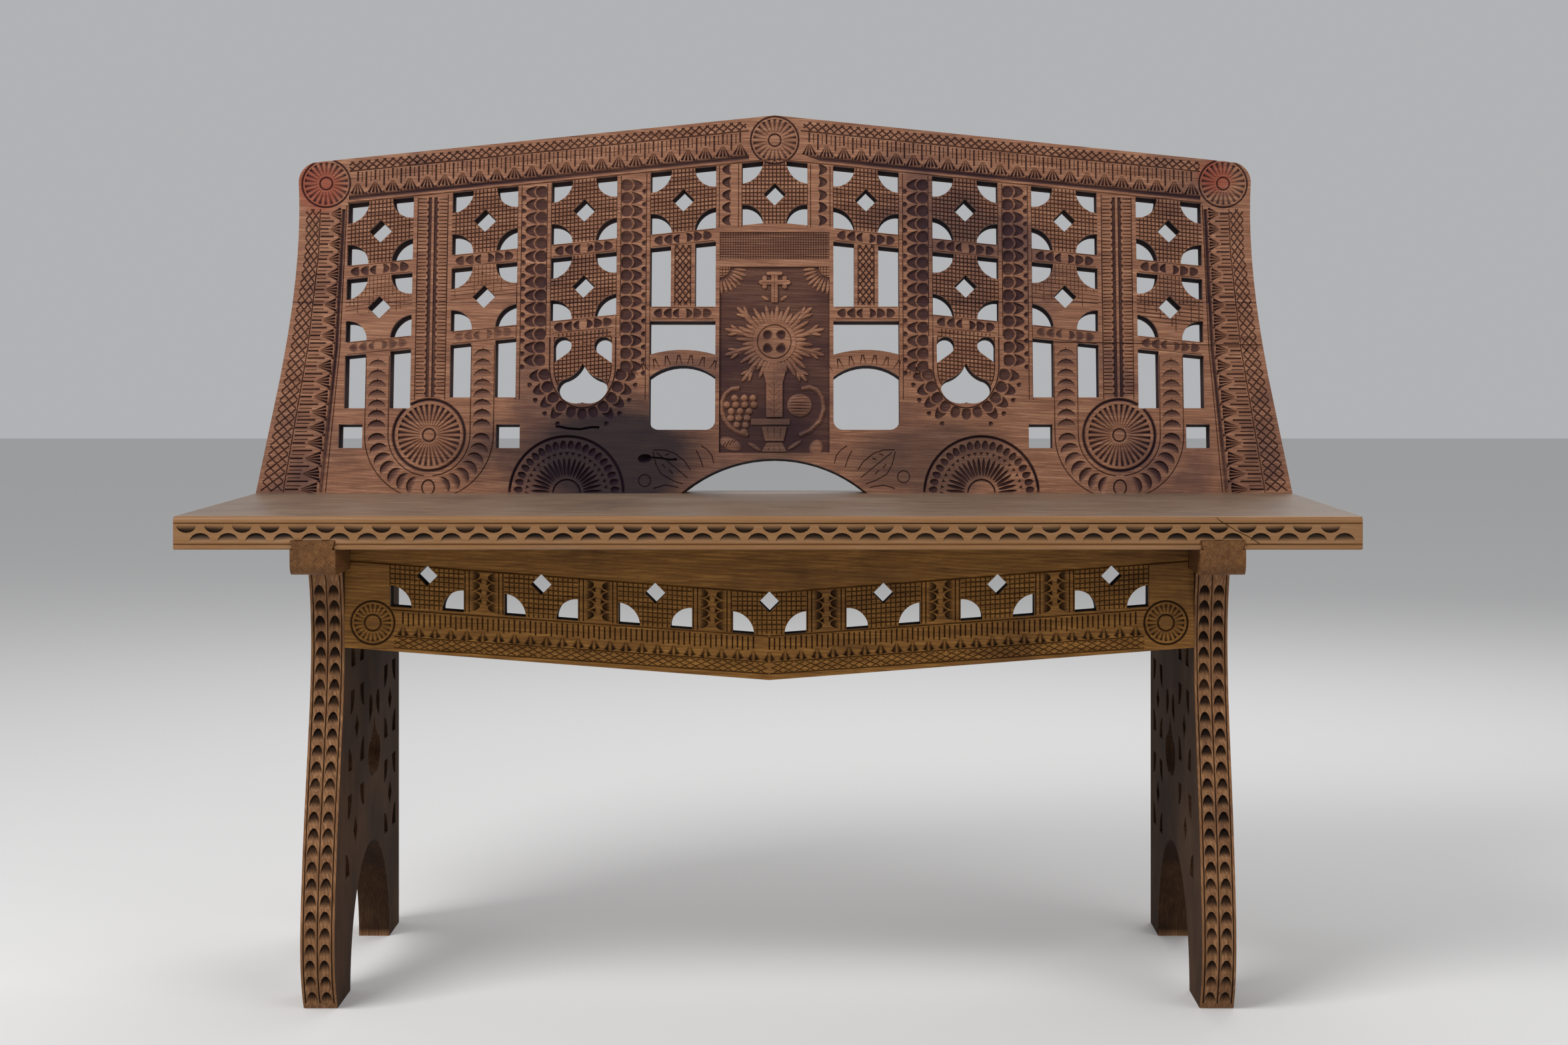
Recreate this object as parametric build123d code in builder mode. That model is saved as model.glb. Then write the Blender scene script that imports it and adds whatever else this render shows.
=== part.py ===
from build123d import *
import os
from math import acos, atan2, cos, radians, sin, tan

os.makedirs("parts", exist_ok=True)

# Carved plank bench, in millimetres. X runs along the seat, the front faces -Y, Z is up from the floor.
# Depths are measured backwards from the seat's front face.

# Fits
fit_gap = 0.15
end_gap = 1.0

# Seat
seat_height = 450.0
seat_depth = 420.0
seat_thickness = 30.0
seat_side_margin = 1.0
seat_front_round = 4.0
seat_behind_back = 24.7

# Cleats, slid into dovetail grooves under the seat
cleat_width = 41.0
cleat_height = 23.0
cleat_nose = 2.0
cleat_nose_round = 11.0
cleat_rear_stop = 5.0
tongue_height = 8.0
tongue_neck_width = 35.0
tongue_head_width = 39.5

# Legs: slabs with a swept front edge, seen from the side as (depth, height)
leg_spacing = 784.0
leg_thickness = 31.0
leg_rear_margin = 8.0
leg_top_front_depth = 62.0
leg_waist_depth = 76.0
leg_knee_depth = 55.0
leg_shin_depth = 27.0
leg_toe_depth = 23.0
leg_waist_share = 0.77
leg_knee_share = 0.55
leg_shin_share = 0.26
leg_toe_share = 0.12
front_foot_depth = 40.0
front_foot_length = 69.0
rear_foot_length = 65.0
foot_arch_height = 118.0

# Leg tenons and their pegs
leg_tenon_count = 3
leg_tenon_length = 44.0
leg_tenon_thickness = 14.0
leg_tenon_height = 22.0
leg_tenon_edge = 72.0
cleat_peg_diameter = 8.0

# Pierced units of the legs
leg_unit_size = 74.0
leg_unit_gap = 22.0
leg_unit_top_margin = 18.0
leg_unit_start = 109.0
leg_corner_radius = 22.0
leg_diamond_reach = 12.0
front_column_foot = 64.0
front_column_sweep = 0.17
front_column_rear = 187.5
rear_column_margin = 25.0
leg_onion_half = 37.5
leg_onion_sill = 182.0
leg_onion_height = 56.0
leg_teardrop_radius = 10.5
leg_teardrop_spread = 22.0
leg_teardrop_height = 251.0
leg_teardrop_tail_side = 8.0
leg_teardrop_tail_drop = 17.0

# Apron
apron_setback = 76.0
apron_thickness = 25.0
apron_end_height = 96.0
apron_centre_drop = 30.0
apron_unit_count = 7
apron_unit_width = 68.0
apron_end_margin = 42.0
apron_line_drop = 45.5
apron_unit_height = 39.5
apron_corner_radius = 20.0
apron_diamond_reach = 9.7
apron_diamond_drop = 8.5
apron_tenon_thickness = 14.0
apron_tenon_height = 50.0
apron_tenon_rise = 12.0
apron_tenon_rear = 2.0
apron_tenon_root = 12.0
wedge_length = 24.0
wedge_head = 3.2
wedge_tip = 0.8
wedge_edge = 11.0

# Back: two boards joined edge to edge, leaning backwards
back_recline = 7.5
back_thickness = 30.0
back_joint_height = 197.5
lattice_top = 348.5
crest_slope = 0.104
crest_border = 47.0
side_border = 51.0
side_splay = 37.5
side_swell = 4.5
side_waist_height = 262.0
side_knee_share = 0.38
corner_flare = 3.0
corner_round = 21.0
back_arch_half = 96.0
back_arch_height = 36.0

# Columns of the back, from the centre outwards: pierced columns of one width, carved strips between
unit_width = 68.0
unit_height = 66.0
bar_height = 14.0
inner_strip = 27.0
narrow_strip = 35.0
wide_strip = 40.5
corner_radius = 22.0
diamond_reach = 12.0

# Larger openings of the back
post_width = 25.0
post_slot_length = 58.0
inner_slot_length = 65.0
window_bar = 15.0
window_height = 35.0
window_bow = 5.0
arch_bar = 16.0
door_height = 67.0
door_arch = 12.0
door_round = 10.0
teardrop_radius = 9.3
teardrop_spread = 21.0
teardrop_tail_side = 9.0
teardrop_tail_drop = 18.0
teardrop_drop = 15.0
onion_half = 26.0
onion_sill = 94.0
onion_height = 41.0
square_size = 24.5
square_height = 59.0
square_spread = 81.0

# Back tenons, keys and dowels
back_tenon_offsets = (160.0, 300.0)
back_tenon_width = 52.0
back_tenon_thickness = 15.0
back_tenon_projection = 25.0
key_width = 16.0
key_head_height = 11.0
key_tip_height = 7.5
key_length = 64.0
dowel_diameter = 10.0
dowel_length = 64.0
dowel_chamfer = 1.0
inner_dowel_offset = 30.0

# Values that follow from the driving dimensions
recline = radians(back_recline)
diagonal_share = cos(radians(45))
inner_column = unit_width + inner_strip
second_column = inner_column + unit_width + narrow_strip
third_column = second_column + unit_width + narrow_strip
outer_column = third_column + unit_width + wide_strip
waist_half = outer_column + unit_width / 2 + side_border
back_foot_half = waist_half + side_splay
seat_length = 2 * (back_foot_half + seat_side_margin)
crest_height = lattice_top + crest_border
row_pitch = unit_height + bar_height
seat_underside = seat_height - seat_thickness
leg_top = seat_underside - cleat_height
leg_inner = leg_spacing / 2
leg_outer = leg_inner + leg_thickness
leg_centre = leg_inner + leg_thickness / 2
leg_rear_depth = seat_depth - leg_rear_margin
rear_column_front = leg_rear_depth - rear_column_margin - leg_unit_size
leg_onion_depth = (front_column_rear + rear_column_front) / 2
back_setback = seat_depth - seat_behind_back - back_thickness / cos(recline)
back_rear_depth = back_setback + crest_height * sin(recline) + back_thickness * cos(recline)
overall_depth = cleat_nose + max(back_rear_depth, seat_depth)


def y_at(depth):
    """Y of a place that lies this far behind the seat's front face."""
    return depth + cleat_nose - overall_depth / 2


def lattice_line(across):
    """Height up the back of the sloping line along which the pierced columns hang."""
    return lattice_top - crest_slope * across


def corner_hole(radius, across, up, slope=0.0):
    """Quarter disc in the corner of a pierced unit. Its flat edge follows the bars' slope."""
    flat_end = (across * radius, -across * slope * radius)
    upright_end = (0, up * radius)
    diagonal = radius * diagonal_share
    middle = (across * diagonal, up * diagonal - across * slope * diagonal)
    with BuildSketch() as hole:
        with BuildLine():
            Polyline(upright_end, (0, 0), flat_end)
            ThreePointArc(flat_end, middle, upright_end)
        make_face()
    return hole.sketch


def diamond_hole(reach):
    """Square hole that stands on its corner."""
    with BuildSketch() as hole:
        Polygon((reach, 0), (0, reach), (-reach, 0), (0, -reach), align=None)
    return hole.sketch


def teardrop_hole(radius, tail_side, tail_drop):
    """Round hole with a tail that points down and to one side."""
    reach = (tail_side**2 + tail_drop**2) ** 0.5
    lean = atan2(-tail_drop, tail_side)
    turn = acos(radius / reach)
    touch_a = (radius * cos(lean + turn), radius * sin(lean + turn))
    touch_b = (radius * cos(lean - turn), radius * sin(lean - turn))
    far_side = (-radius * cos(lean), -radius * sin(lean))
    with BuildSketch() as hole:
        with BuildLine():
            Polyline(touch_a, (tail_side, -tail_drop), touch_b)
            ThreePointArc(touch_b, far_side, touch_a)
        make_face()
    return hole.sketch


def onion_hole(half, height):
    """Onion-shaped hole: a round bowl whose shoulders sweep up to a point."""
    bowl_bend = (half * 0.78, height * 0.1)
    widest = (half, height * 0.32)
    shoulder_bend = (half * 0.93, height * 0.48)
    shoulder = (half * 0.65, height * 0.6)
    neck_bend = (half * 0.27, height * 0.75)
    with BuildSketch() as hole:
        with BuildLine():
            ThreePointArc((0, 0), bowl_bend, widest)
            ThreePointArc(widest, shoulder_bend, shoulder)
            ThreePointArc(shoulder, neck_bend, (0, height))
            Line((0, height), (0, 0))
        make_face()
        mirror(about=Plane.YZ)
    return hole.sketch


def half_back_outline():
    """Right half of the back's outline: splayed foot, narrow waist, round corner and gabled crest."""
    corner = waist_half + corner_flare
    corner_height = crest_height - crest_slope * corner
    knee_height = side_waist_height * side_knee_share
    knee = waist_half + side_splay * (1 - knee_height / side_waist_height) ** 2 + side_swell
    with BuildSketch() as outline:
        with BuildLine():
            Line((0, crest_height), (0, back_arch_height))
            arch_mid = back_arch_half * diagonal_share
            arch_radius = (back_arch_half**2 + back_arch_height**2) / (2 * back_arch_height)
            arch_rise = (arch_radius**2 - arch_mid**2) ** 0.5 - arch_radius + back_arch_height
            ThreePointArc((0, back_arch_height), (arch_mid, arch_rise), (back_arch_half, 0))
            Line((back_arch_half, 0), (back_foot_half, 0))
            Spline(
                (back_foot_half, 0),
                (knee, knee_height),
                (waist_half, side_waist_height),
                (corner, corner_height),
            )
            Line((corner, corner_height), (0, crest_height))
        make_face()
        outer_corner = outline.vertices().sort_by(Axis((0, 0, 0), (1, 1, 0)))[-1]
        fillet(outer_corner, corner_round)
    return outline.sketch


def back_openings():
    """Right half of the back's openings, column by column."""
    half = unit_width / 2
    corners = {}
    for across in (-1, 1):
        for up in (-1, 1):
            corners[across, up] = corner_hole(corner_radius, across, up, crest_slope)
    diamond = diamond_hole(diamond_reach)
    teardrops = {side: teardrop_hole(teardrop_radius, side * teardrop_tail_side, teardrop_tail_drop)
                 for side in (-1, 1)}
    onion = onion_hole(onion_half, onion_height)
    slot_width = (unit_width - post_width) / 2
    with BuildSketch() as holes:
        # Centre unit: its right half
        with Locations((half, lattice_line(half))):
            add(corners[-1, -1])
        with Locations((half, lattice_line(half) - unit_height)):
            add(corners[-1, 1])
        with Locations((0, lattice_line(half) - unit_height / 2)):
            add(diamond)
        # Lattice units: one in the inner column, two in each outer column
        for column, rows in ((inner_column, 1), (second_column, 2), (third_column, 2), (outer_column, 2)):
            for row in range(rows):
                for (across, up), hole in corners.items():
                    edge = column - across * half
                    drop = row * row_pitch + (unit_height if up > 0 else 0)
                    with Locations((edge, lattice_line(edge) - drop)):
                        add(hole)
                middle = lattice_line(column) - row * row_pitch - unit_height / 2
                with Locations((column, middle)):
                    add(diamond)
        # Tall slots on both sides of a carved post
        for column, rows, length in (
            (inner_column, 1, inner_slot_length),
            (third_column, 2, post_slot_length),
            (outer_column, 2, post_slot_length),
        ):
            sill = lattice_line(column) - rows * row_pitch - length
            for side in (-1, 1):
                near = column + side * post_width / 2
                far = near + side * slot_width
                near_top = lattice_line(near) - rows * row_pitch
                far_top = lattice_line(far) - rows * row_pitch
                Polygon((near, sill), (far, sill), (far, far_top), (near, near_top), align=None)
        # Window and round-topped door under the inner column's slots
        window_top = lattice_line(inner_column) - row_pitch - inner_slot_length - window_bar
        window_sill = window_top - window_height
        left = inner_column - half
        right = inner_column + half
        with BuildLine():
            Polyline((left, window_sill), (left, window_top), (right, window_top), (right, window_sill))
            ThreePointArc(
                (left, window_sill),
                (inner_column, window_sill + window_bow),
                (right, window_sill),
            )
        make_face()
        door_crown = window_sill + window_bow - arch_bar
        door_spring = door_crown - door_arch
        door_sill = door_crown - door_height
        with BuildLine():
            FilletPolyline(
                (left, door_spring),
                (left, door_sill),
                (right, door_sill),
                (right, door_spring),
                radius=door_round,
            )
            ThreePointArc((left, door_spring), (inner_column, door_crown), (right, door_spring))
        make_face()
        # Teardrops over an onion in the second column
        teardrop_height = lattice_line(second_column) - 2 * row_pitch - teardrop_drop
        for side, teardrop in teardrops.items():
            with Locations((second_column + side * teardrop_spread, teardrop_height)):
                add(teardrop)
        with Locations((second_column, onion_sill)):
            add(onion)
        # Small squares on both sides of the wheel between the outer columns
        wheel = (third_column + outer_column) / 2
        with Locations((wheel - square_spread, square_height), (wheel + square_spread, square_height)):
            Rectangle(square_size, square_size)
    return holes.sketch


with BuildSketch() as back_face:
    add(half_back_outline())
    add(back_openings(), mode=Mode.SUBTRACT)
    mirror(about=Plane.YZ)

back_plane = Plane(
    origin=(0, y_at(back_setback), seat_height), x_dir=(1, 0, 0), z_dir=(0, -cos(recline), sin(recline))
)
back_middle_plane = back_plane.offset(-back_thickness / 2)
tenon_places = sorted(side * offset for side in (-1, 1) for offset in back_tenon_offsets)
tenon_reach = (seat_thickness + back_tenon_projection) / cos(recline)
tenon_root = back_thickness * tan(recline) + back_tenon_thickness

joint_plane = Plane(
    origin=back_middle_plane.from_local_coords((0, back_joint_height, 0)),
    x_dir=(1, 0, 0),
    z_dir=back_plane.y_dir,
)

# Dowels stand in the solid strips between the pierced columns and in the borders
inner_strip_middle = (inner_column + second_column) / 2
outer_strip_middle = (second_column + third_column) / 2
wheel_strip_middle = (third_column + outer_column) / 2
dowel_offsets = (inner_dowel_offset, inner_strip_middle, outer_strip_middle, wheel_strip_middle)
dowel_places = sorted(side * offset for side in (-1, 1) for offset in dowel_offsets)
dowel_hole_reach = dowel_length / 2 + end_gap

# Keys lie along the depth, tight under the seat, through the projecting ends of the tenons
key_centre_depth = back_setback + back_thickness / 2 * cos(recline) - seat_thickness * tan(recline)
key_front = y_at(key_centre_depth - key_length / 2)
key_rear = y_at(key_centre_depth + key_length / 2)
key_profile = [
    (key_front, seat_underside),
    (key_rear, seat_underside),
    (key_rear, seat_underside - key_tip_height),
    (key_front, seat_underside - key_head_height),
]
key_slot_profile = [
    (key_front, seat_underside + end_gap),
    (key_rear, seat_underside + end_gap),
    (key_rear, seat_underside - key_tip_height - fit_gap),
    (key_front, seat_underside - key_head_height - fit_gap),
]

# Lower back board, with its tenons
with BuildPart() as back_lower_board:
    with BuildSketch(back_plane):
        add(back_face.sketch)
        Rectangle(2 * seat_length, 2 * back_joint_height, mode=Mode.INTERSECT)
    extrude(amount=-back_thickness)
    split(bisect_by=Plane.XY.offset(seat_height), keep=Keep.TOP)
    with BuildSketch(back_middle_plane):
        with Locations(*[(place, (tenon_root - tenon_reach) / 2) for place in tenon_places]):
            Rectangle(back_tenon_width, tenon_root + tenon_reach)
    extrude(amount=back_tenon_thickness / 2, both=True)
    for place in tenon_places:
        with BuildSketch(Plane.YZ.offset(place)):
            Polygon(*key_slot_profile, align=None)
        extrude(amount=key_width / 2 + fit_gap, both=True, mode=Mode.SUBTRACT)
    with BuildSketch(joint_plane):
        with Locations(*[(place, 0) for place in dowel_places]):
            Circle(dowel_diameter / 2 + fit_gap)
    extrude(amount=-dowel_hole_reach, mode=Mode.SUBTRACT)
back_lower_board.part.label = "back_lower_board"
export_step(back_lower_board.part, "parts/back_lower_board.step")

# Upper back board
with BuildPart() as back_upper_board:
    with BuildSketch(back_plane):
        add(back_face.sketch)
        Rectangle(2 * seat_length, 2 * back_joint_height, mode=Mode.SUBTRACT)
    extrude(amount=-back_thickness)
    with BuildSketch(joint_plane):
        with Locations(*[(place, 0) for place in dowel_places]):
            Circle(dowel_diameter / 2 + fit_gap)
    extrude(amount=dowel_hole_reach, mode=Mode.SUBTRACT)
back_upper_board.part.label = "back_upper_board"
export_step(back_upper_board.part, "parts/back_upper_board.step")

# Dowels between the two back boards
for number, place in enumerate(dowel_places, start=1):
    with BuildPart() as back_dowel:
        with BuildSketch(joint_plane.offset(-dowel_length / 2)):
            with Locations((place, 0)):
                Circle(dowel_diameter / 2)
        extrude(amount=dowel_length)
        chamfer(back_dowel.edges().filter_by(GeomType.CIRCLE), dowel_chamfer)
    back_dowel.part.label = f"back_dowel_{number}"
    export_step(back_dowel.part, f"parts/back_dowel_{number}.step")

# Tapered keys under the seat
for number, place in enumerate(tenon_places, start=1):
    with BuildPart() as back_key:
        with BuildSketch(Plane.YZ.offset(place)):
            Polygon(*key_profile, align=None)
        extrude(amount=key_width / 2, both=True)
    back_key.part.label = f"back_key_{number}"
    export_step(back_key.part, f"parts/back_key_{number}.step")

sides = ((-1, "left"), (1, "right"))


def facing_plane(depth):
    """Upright plane that faces the front, at this depth. Its sketches are in X and height."""
    return Plane(origin=(0, y_at(depth), 0), x_dir=(1, 0, 0), z_dir=(0, -1, 0))


def dovetail(gap):
    """Section of a cleat's tongue, which widens upwards into the seat."""
    neck = tongue_neck_width / 2 + gap
    head = tongue_head_width / 2 + gap
    top = seat_underside + tongue_height + gap
    return [(-neck, seat_underside), (neck, seat_underside), (head, top), (-head, top)]


# Seat plank, with dovetail grooves for the cleats and slanted mortises for the back
with BuildPart() as seat_board:
    with BuildSketch(Plane.XY.offset(seat_underside)):
        with Locations((0, y_at(seat_depth / 2))):
            Rectangle(seat_length, seat_depth)
    extrude(amount=seat_thickness)
    front_arris = seat_board.edges().filter_by(Axis.X).group_by(Axis.Z)[-1].sort_by(Axis.Y)[0]
    fillet(front_arris, seat_front_round)
    with BuildSketch(facing_plane(0)):
        with Locations((-leg_centre, 0), (leg_centre, 0)):
            Polygon(*dovetail(fit_gap), align=None)
    extrude(amount=-seat_depth, mode=Mode.SUBTRACT)
    with BuildSketch(back_middle_plane):
        with Locations(*[(place, (tenon_root - tenon_reach) / 2) for place in tenon_places]):
            Rectangle(back_tenon_width + 2 * fit_gap, tenon_root + tenon_reach)
    extrude(amount=back_tenon_thickness / 2 + fit_gap, both=True, mode=Mode.SUBTRACT)
seat_board.part.label = "seat_board"
export_step(seat_board.part, "parts/seat_board.step")

# Apron: its line of units rises from the centre to both ends
apron_end_bottom = seat_underside - apron_end_height
apron_slope = apron_centre_drop / leg_inner
apron_pitch = (leg_spacing - 2 * apron_end_margin - apron_unit_width) / (apron_unit_count - 1)
apron_unit_places = [step * apron_pitch for step in range(apron_unit_count // 2 + 1)]
apron_tenon_bottom = apron_end_bottom + apron_tenon_rise
apron_tenon_top = apron_tenon_bottom + apron_tenon_height
apron_tenon_depth = apron_setback + apron_thickness - apron_tenon_rear
wedge_rows = (("lower", apron_tenon_bottom + wedge_edge), ("upper", apron_tenon_top - wedge_edge))


def apron_line(across):
    """Height of the incised line over the pierced units."""
    return seat_underside - apron_line_drop + apron_slope * abs(across)


def wedge_profile(side, height):
    """Outline of a wedge, driven into a tenon's end from outside the leg."""
    head = side * leg_outer
    tip = side * (leg_outer - wedge_length)
    return [
        (head, height - wedge_head / 2),
        (head, height + wedge_head / 2),
        (tip, height + wedge_tip / 2),
        (tip, height - wedge_tip / 2),
    ]


with BuildPart() as apron:
    with BuildSketch(facing_plane(apron_setback)):
        with BuildLine():
            Polyline(
                (0, seat_underside),
                (leg_inner, seat_underside),
                (leg_inner, apron_end_bottom),
                (0, apron_end_bottom - apron_centre_drop),
                close=True,
            )
        make_face()
        with Locations((leg_centre, seat_underside)):
            Rectangle(
                cleat_width + 2 * fit_gap,
                2 * (cleat_height + fit_gap),
                mode=Mode.SUBTRACT,
            )
        for place in apron_unit_places:
            with Locations((place, apron_line(place) - apron_diamond_drop)):
                add(diamond_hole(apron_diamond_reach), mode=Mode.SUBTRACT)
            for across in (-1, 1):
                edge = place - across * apron_unit_width / 2
                with Locations((edge, apron_line(edge) - apron_unit_height)):
                    add(corner_hole(apron_corner_radius, across, 1, -apron_slope), mode=Mode.SUBTRACT)
        mirror(about=Plane.YZ)
    extrude(amount=-apron_thickness)
    with BuildSketch(facing_plane(apron_tenon_depth)):
        for side, name in sides:
            with Locations((side * (leg_outer + leg_inner - apron_tenon_root) / 2, apron_tenon_bottom)):
                Rectangle(
                    leg_thickness + apron_tenon_root,
                    apron_tenon_height,
                    align=(Align.CENTER, Align.MIN),
                )
    extrude(amount=apron_tenon_thickness)
    with BuildSketch(facing_plane(apron_tenon_depth)):
        for row, height in wedge_rows:
            for side, name in sides:
                Polygon(*wedge_profile(side, height), align=None)
    extrude(amount=apron_tenon_thickness, mode=Mode.SUBTRACT)
apron.part.label = "apron"
export_step(apron.part, "parts/apron.step")

# Wedges in the ends of the apron's tenons
for side, name in sides:
    for row, height in wedge_rows:
        with BuildPart() as apron_wedge:
            with BuildSketch(facing_plane(apron_tenon_depth)):
                Polygon(*wedge_profile(side, height), align=None)
            extrude(amount=apron_tenon_thickness)
        apron_wedge.part.label = f"{name}_{row}_apron_wedge"
        export_step(apron_wedge.part, f"parts/{name}_{row}_apron_wedge.step")

# Tenons along the top of each leg, with a peg through each
first_tenon = leg_top_front_depth + leg_tenon_edge
last_tenon = leg_rear_depth - leg_tenon_edge
leg_tenon_step = (last_tenon - first_tenon) / (leg_tenon_count - 1)
leg_tenon_places = [first_tenon + step * leg_tenon_step for step in range(leg_tenon_count)]
peg_height = leg_top + leg_tenon_height / 2

# Cleats, each with a rounded nose, a dovetail tongue and blind mortises for the leg's tenons
for side, name in sides:
    with BuildPart() as cleat:
        with BuildSketch(facing_plane(-cleat_nose)):
            with Locations((side * leg_centre, leg_top)):
                Rectangle(cleat_width, cleat_height, align=(Align.CENTER, Align.MIN))
            with Locations((side * leg_centre, 0)):
                Polygon(*dovetail(0), align=None)
        extrude(amount=-(cleat_nose + seat_depth - cleat_rear_stop))
        nose = cleat.edges().filter_by(Axis.X).group_by(Axis.Z)[0].sort_by(Axis.Y)[0]
        fillet(nose, cleat_nose_round)
        with BuildSketch(Plane.XY.offset(leg_top)):
            with Locations(*[(side * leg_centre, y_at(place)) for place in leg_tenon_places]):
                Rectangle(leg_tenon_thickness + 2 * fit_gap, leg_tenon_length + 2 * fit_gap)
        extrude(amount=leg_tenon_height + end_gap, mode=Mode.SUBTRACT)
        with BuildSketch(Plane.YZ.offset(side * leg_centre)):
            with Locations(*[(y_at(place), peg_height) for place in leg_tenon_places]):
                Circle(cleat_peg_diameter / 2 + fit_gap)
        extrude(amount=cleat_width, both=True, mode=Mode.SUBTRACT)
    cleat.part.label = f"{name}_cleat"
    export_step(cleat.part, f"parts/{name}_cleat.step")

# Pegs through the cleats and the leg tenons
for side, name in sides:
    for number, place in enumerate(leg_tenon_places, start=1):
        with BuildPart() as cleat_peg:
            with BuildSketch(Plane.YZ.offset(side * leg_centre)):
                with Locations((y_at(place), peg_height)):
                    Circle(cleat_peg_diameter / 2)
            extrude(amount=cleat_width / 2, both=True)
        cleat_peg.part.label = f"{name}_cleat_peg_{number}"
        export_step(cleat_peg.part, f"parts/{name}_cleat_peg_{number}.step")

# Legs: swept front edge, round arch between the feet, pierced like the back
foot_arch_front = front_foot_depth + front_foot_length
foot_arch_rear = leg_rear_depth - rear_foot_length
foot_arch_middle = (foot_arch_front + foot_arch_rear) / 2
leg_unit_pitch = leg_unit_size + leg_unit_gap
leg_unit_rows = int((leg_top - leg_unit_top_margin - leg_unit_start + leg_unit_gap) // leg_unit_pitch)


def front_column_edge(height):
    """Depth of the front column's leading side, which follows the leg's swept edge."""
    return front_column_foot + front_column_sweep * height


def leg_openings():
    """Pierced pattern of a leg, seen from the side."""
    rear_column_rear = rear_column_front + leg_unit_size
    with BuildSketch() as holes:
        for row in range(leg_unit_rows):
            sill = leg_unit_start + row * leg_unit_pitch
            head = sill + leg_unit_size
            middle = sill + leg_unit_size / 2
            corners = [
                (front_column_edge(sill), sill, 1, 1),
                (front_column_edge(head), head, 1, -1),
                (front_column_rear, head, -1, -1),
                (rear_column_front, sill, 1, 1),
                (rear_column_front, head, 1, -1),
                (rear_column_rear, sill, -1, 1),
                (rear_column_rear, head, -1, -1),
            ]
            # The arch of the feet takes the place of the lowest row's fourth corner
            if row > 0:
                corners.append((front_column_rear, sill, -1, 1))
            for depth, height, across, up in corners:
                with Locations((y_at(depth), height)):
                    add(corner_hole(leg_corner_radius, across, up))
            front_middle = (front_column_edge(middle) + front_column_rear) / 2
            rear_middle = (rear_column_front + rear_column_rear) / 2
            with Locations((y_at(front_middle), middle), (y_at(rear_middle), middle)):
                add(diamond_hole(leg_diamond_reach))
        with Locations((y_at(leg_onion_depth), leg_onion_sill)):
            add(onion_hole(leg_onion_half, leg_onion_height))
        for across in (-1, 1):
            tail = across * leg_teardrop_tail_side
            with Locations((y_at(leg_onion_depth + across * leg_teardrop_spread), leg_teardrop_height)):
                add(teardrop_hole(leg_teardrop_radius, tail, leg_teardrop_tail_drop))
    return holes.sketch


for side, name in sides:
    with BuildPart() as leg:
        with BuildSketch(Plane.YZ.offset(side * leg_inner)):
            with BuildLine():
                Spline(
                    (y_at(leg_top_front_depth), leg_top),
                    (y_at(leg_waist_depth), leg_top * leg_waist_share),
                    (y_at(leg_knee_depth), leg_top * leg_knee_share),
                    (y_at(leg_shin_depth), leg_top * leg_shin_share),
                    (y_at(leg_toe_depth), leg_top * leg_toe_share),
                    (y_at(front_foot_depth), 0),
                )
                Line((y_at(front_foot_depth), 0), (y_at(foot_arch_front), 0))
                ThreePointArc(
                    (y_at(foot_arch_front), 0),
                    (y_at(foot_arch_middle), foot_arch_height),
                    (y_at(foot_arch_rear), 0),
                )
                Polyline(
                    (y_at(foot_arch_rear), 0),
                    (y_at(leg_rear_depth), 0),
                    (y_at(leg_rear_depth), leg_top),
                    (y_at(leg_top_front_depth), leg_top),
                )
            make_face()
            add(leg_openings(), mode=Mode.SUBTRACT)
            tenon_middle = y_at(apron_tenon_depth - apron_tenon_thickness / 2)
            with Locations((tenon_middle, apron_tenon_bottom - fit_gap)):
                Rectangle(
                    apron_tenon_thickness + 2 * fit_gap,
                    apron_tenon_height + 2 * fit_gap,
                    align=(Align.CENTER, Align.MIN),
                    mode=Mode.SUBTRACT,
                )
        extrude(amount=side * leg_thickness)
        with BuildSketch(Plane.XY.offset(leg_top)):
            with Locations(*[(side * leg_centre, y_at(place)) for place in leg_tenon_places]):
                Rectangle(leg_tenon_thickness, leg_tenon_length)
        extrude(amount=leg_tenon_height)
        with BuildSketch(Plane.YZ.offset(side * leg_centre)):
            with Locations(*[(y_at(place), peg_height) for place in leg_tenon_places]):
                Circle(cleat_peg_diameter / 2 + fit_gap)
        extrude(amount=leg_thickness, both=True, mode=Mode.SUBTRACT)
    leg.part.label = f"{name}_leg"
    export_step(leg.part, f"parts/{name}_leg.step")
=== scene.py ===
import bpy, bmesh, random
from functools import partial
from math import radians, sin, cos, pi, atan2
from mathutils import Matrix, Vector
from mathutils.bvhtree import BVHTree


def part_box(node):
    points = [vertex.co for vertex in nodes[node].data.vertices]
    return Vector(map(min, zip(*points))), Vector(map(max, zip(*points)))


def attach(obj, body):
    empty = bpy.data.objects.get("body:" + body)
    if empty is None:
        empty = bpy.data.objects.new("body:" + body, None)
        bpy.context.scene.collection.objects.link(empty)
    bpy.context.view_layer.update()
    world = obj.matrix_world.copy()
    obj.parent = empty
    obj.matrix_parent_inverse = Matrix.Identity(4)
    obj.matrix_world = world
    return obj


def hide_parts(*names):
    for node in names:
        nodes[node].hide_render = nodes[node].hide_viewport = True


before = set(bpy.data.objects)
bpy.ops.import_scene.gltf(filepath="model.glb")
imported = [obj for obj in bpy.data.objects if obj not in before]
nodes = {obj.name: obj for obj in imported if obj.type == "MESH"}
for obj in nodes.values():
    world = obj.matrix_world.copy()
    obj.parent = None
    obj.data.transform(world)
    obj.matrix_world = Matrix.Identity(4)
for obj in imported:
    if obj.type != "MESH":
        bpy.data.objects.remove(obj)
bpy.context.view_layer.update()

scene = bpy.context.scene
mm = 0.001
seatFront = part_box("seat_board")[0].y   # front face of the seat plank
hand = random.Random(11)                # small unevenness of hand work

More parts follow.
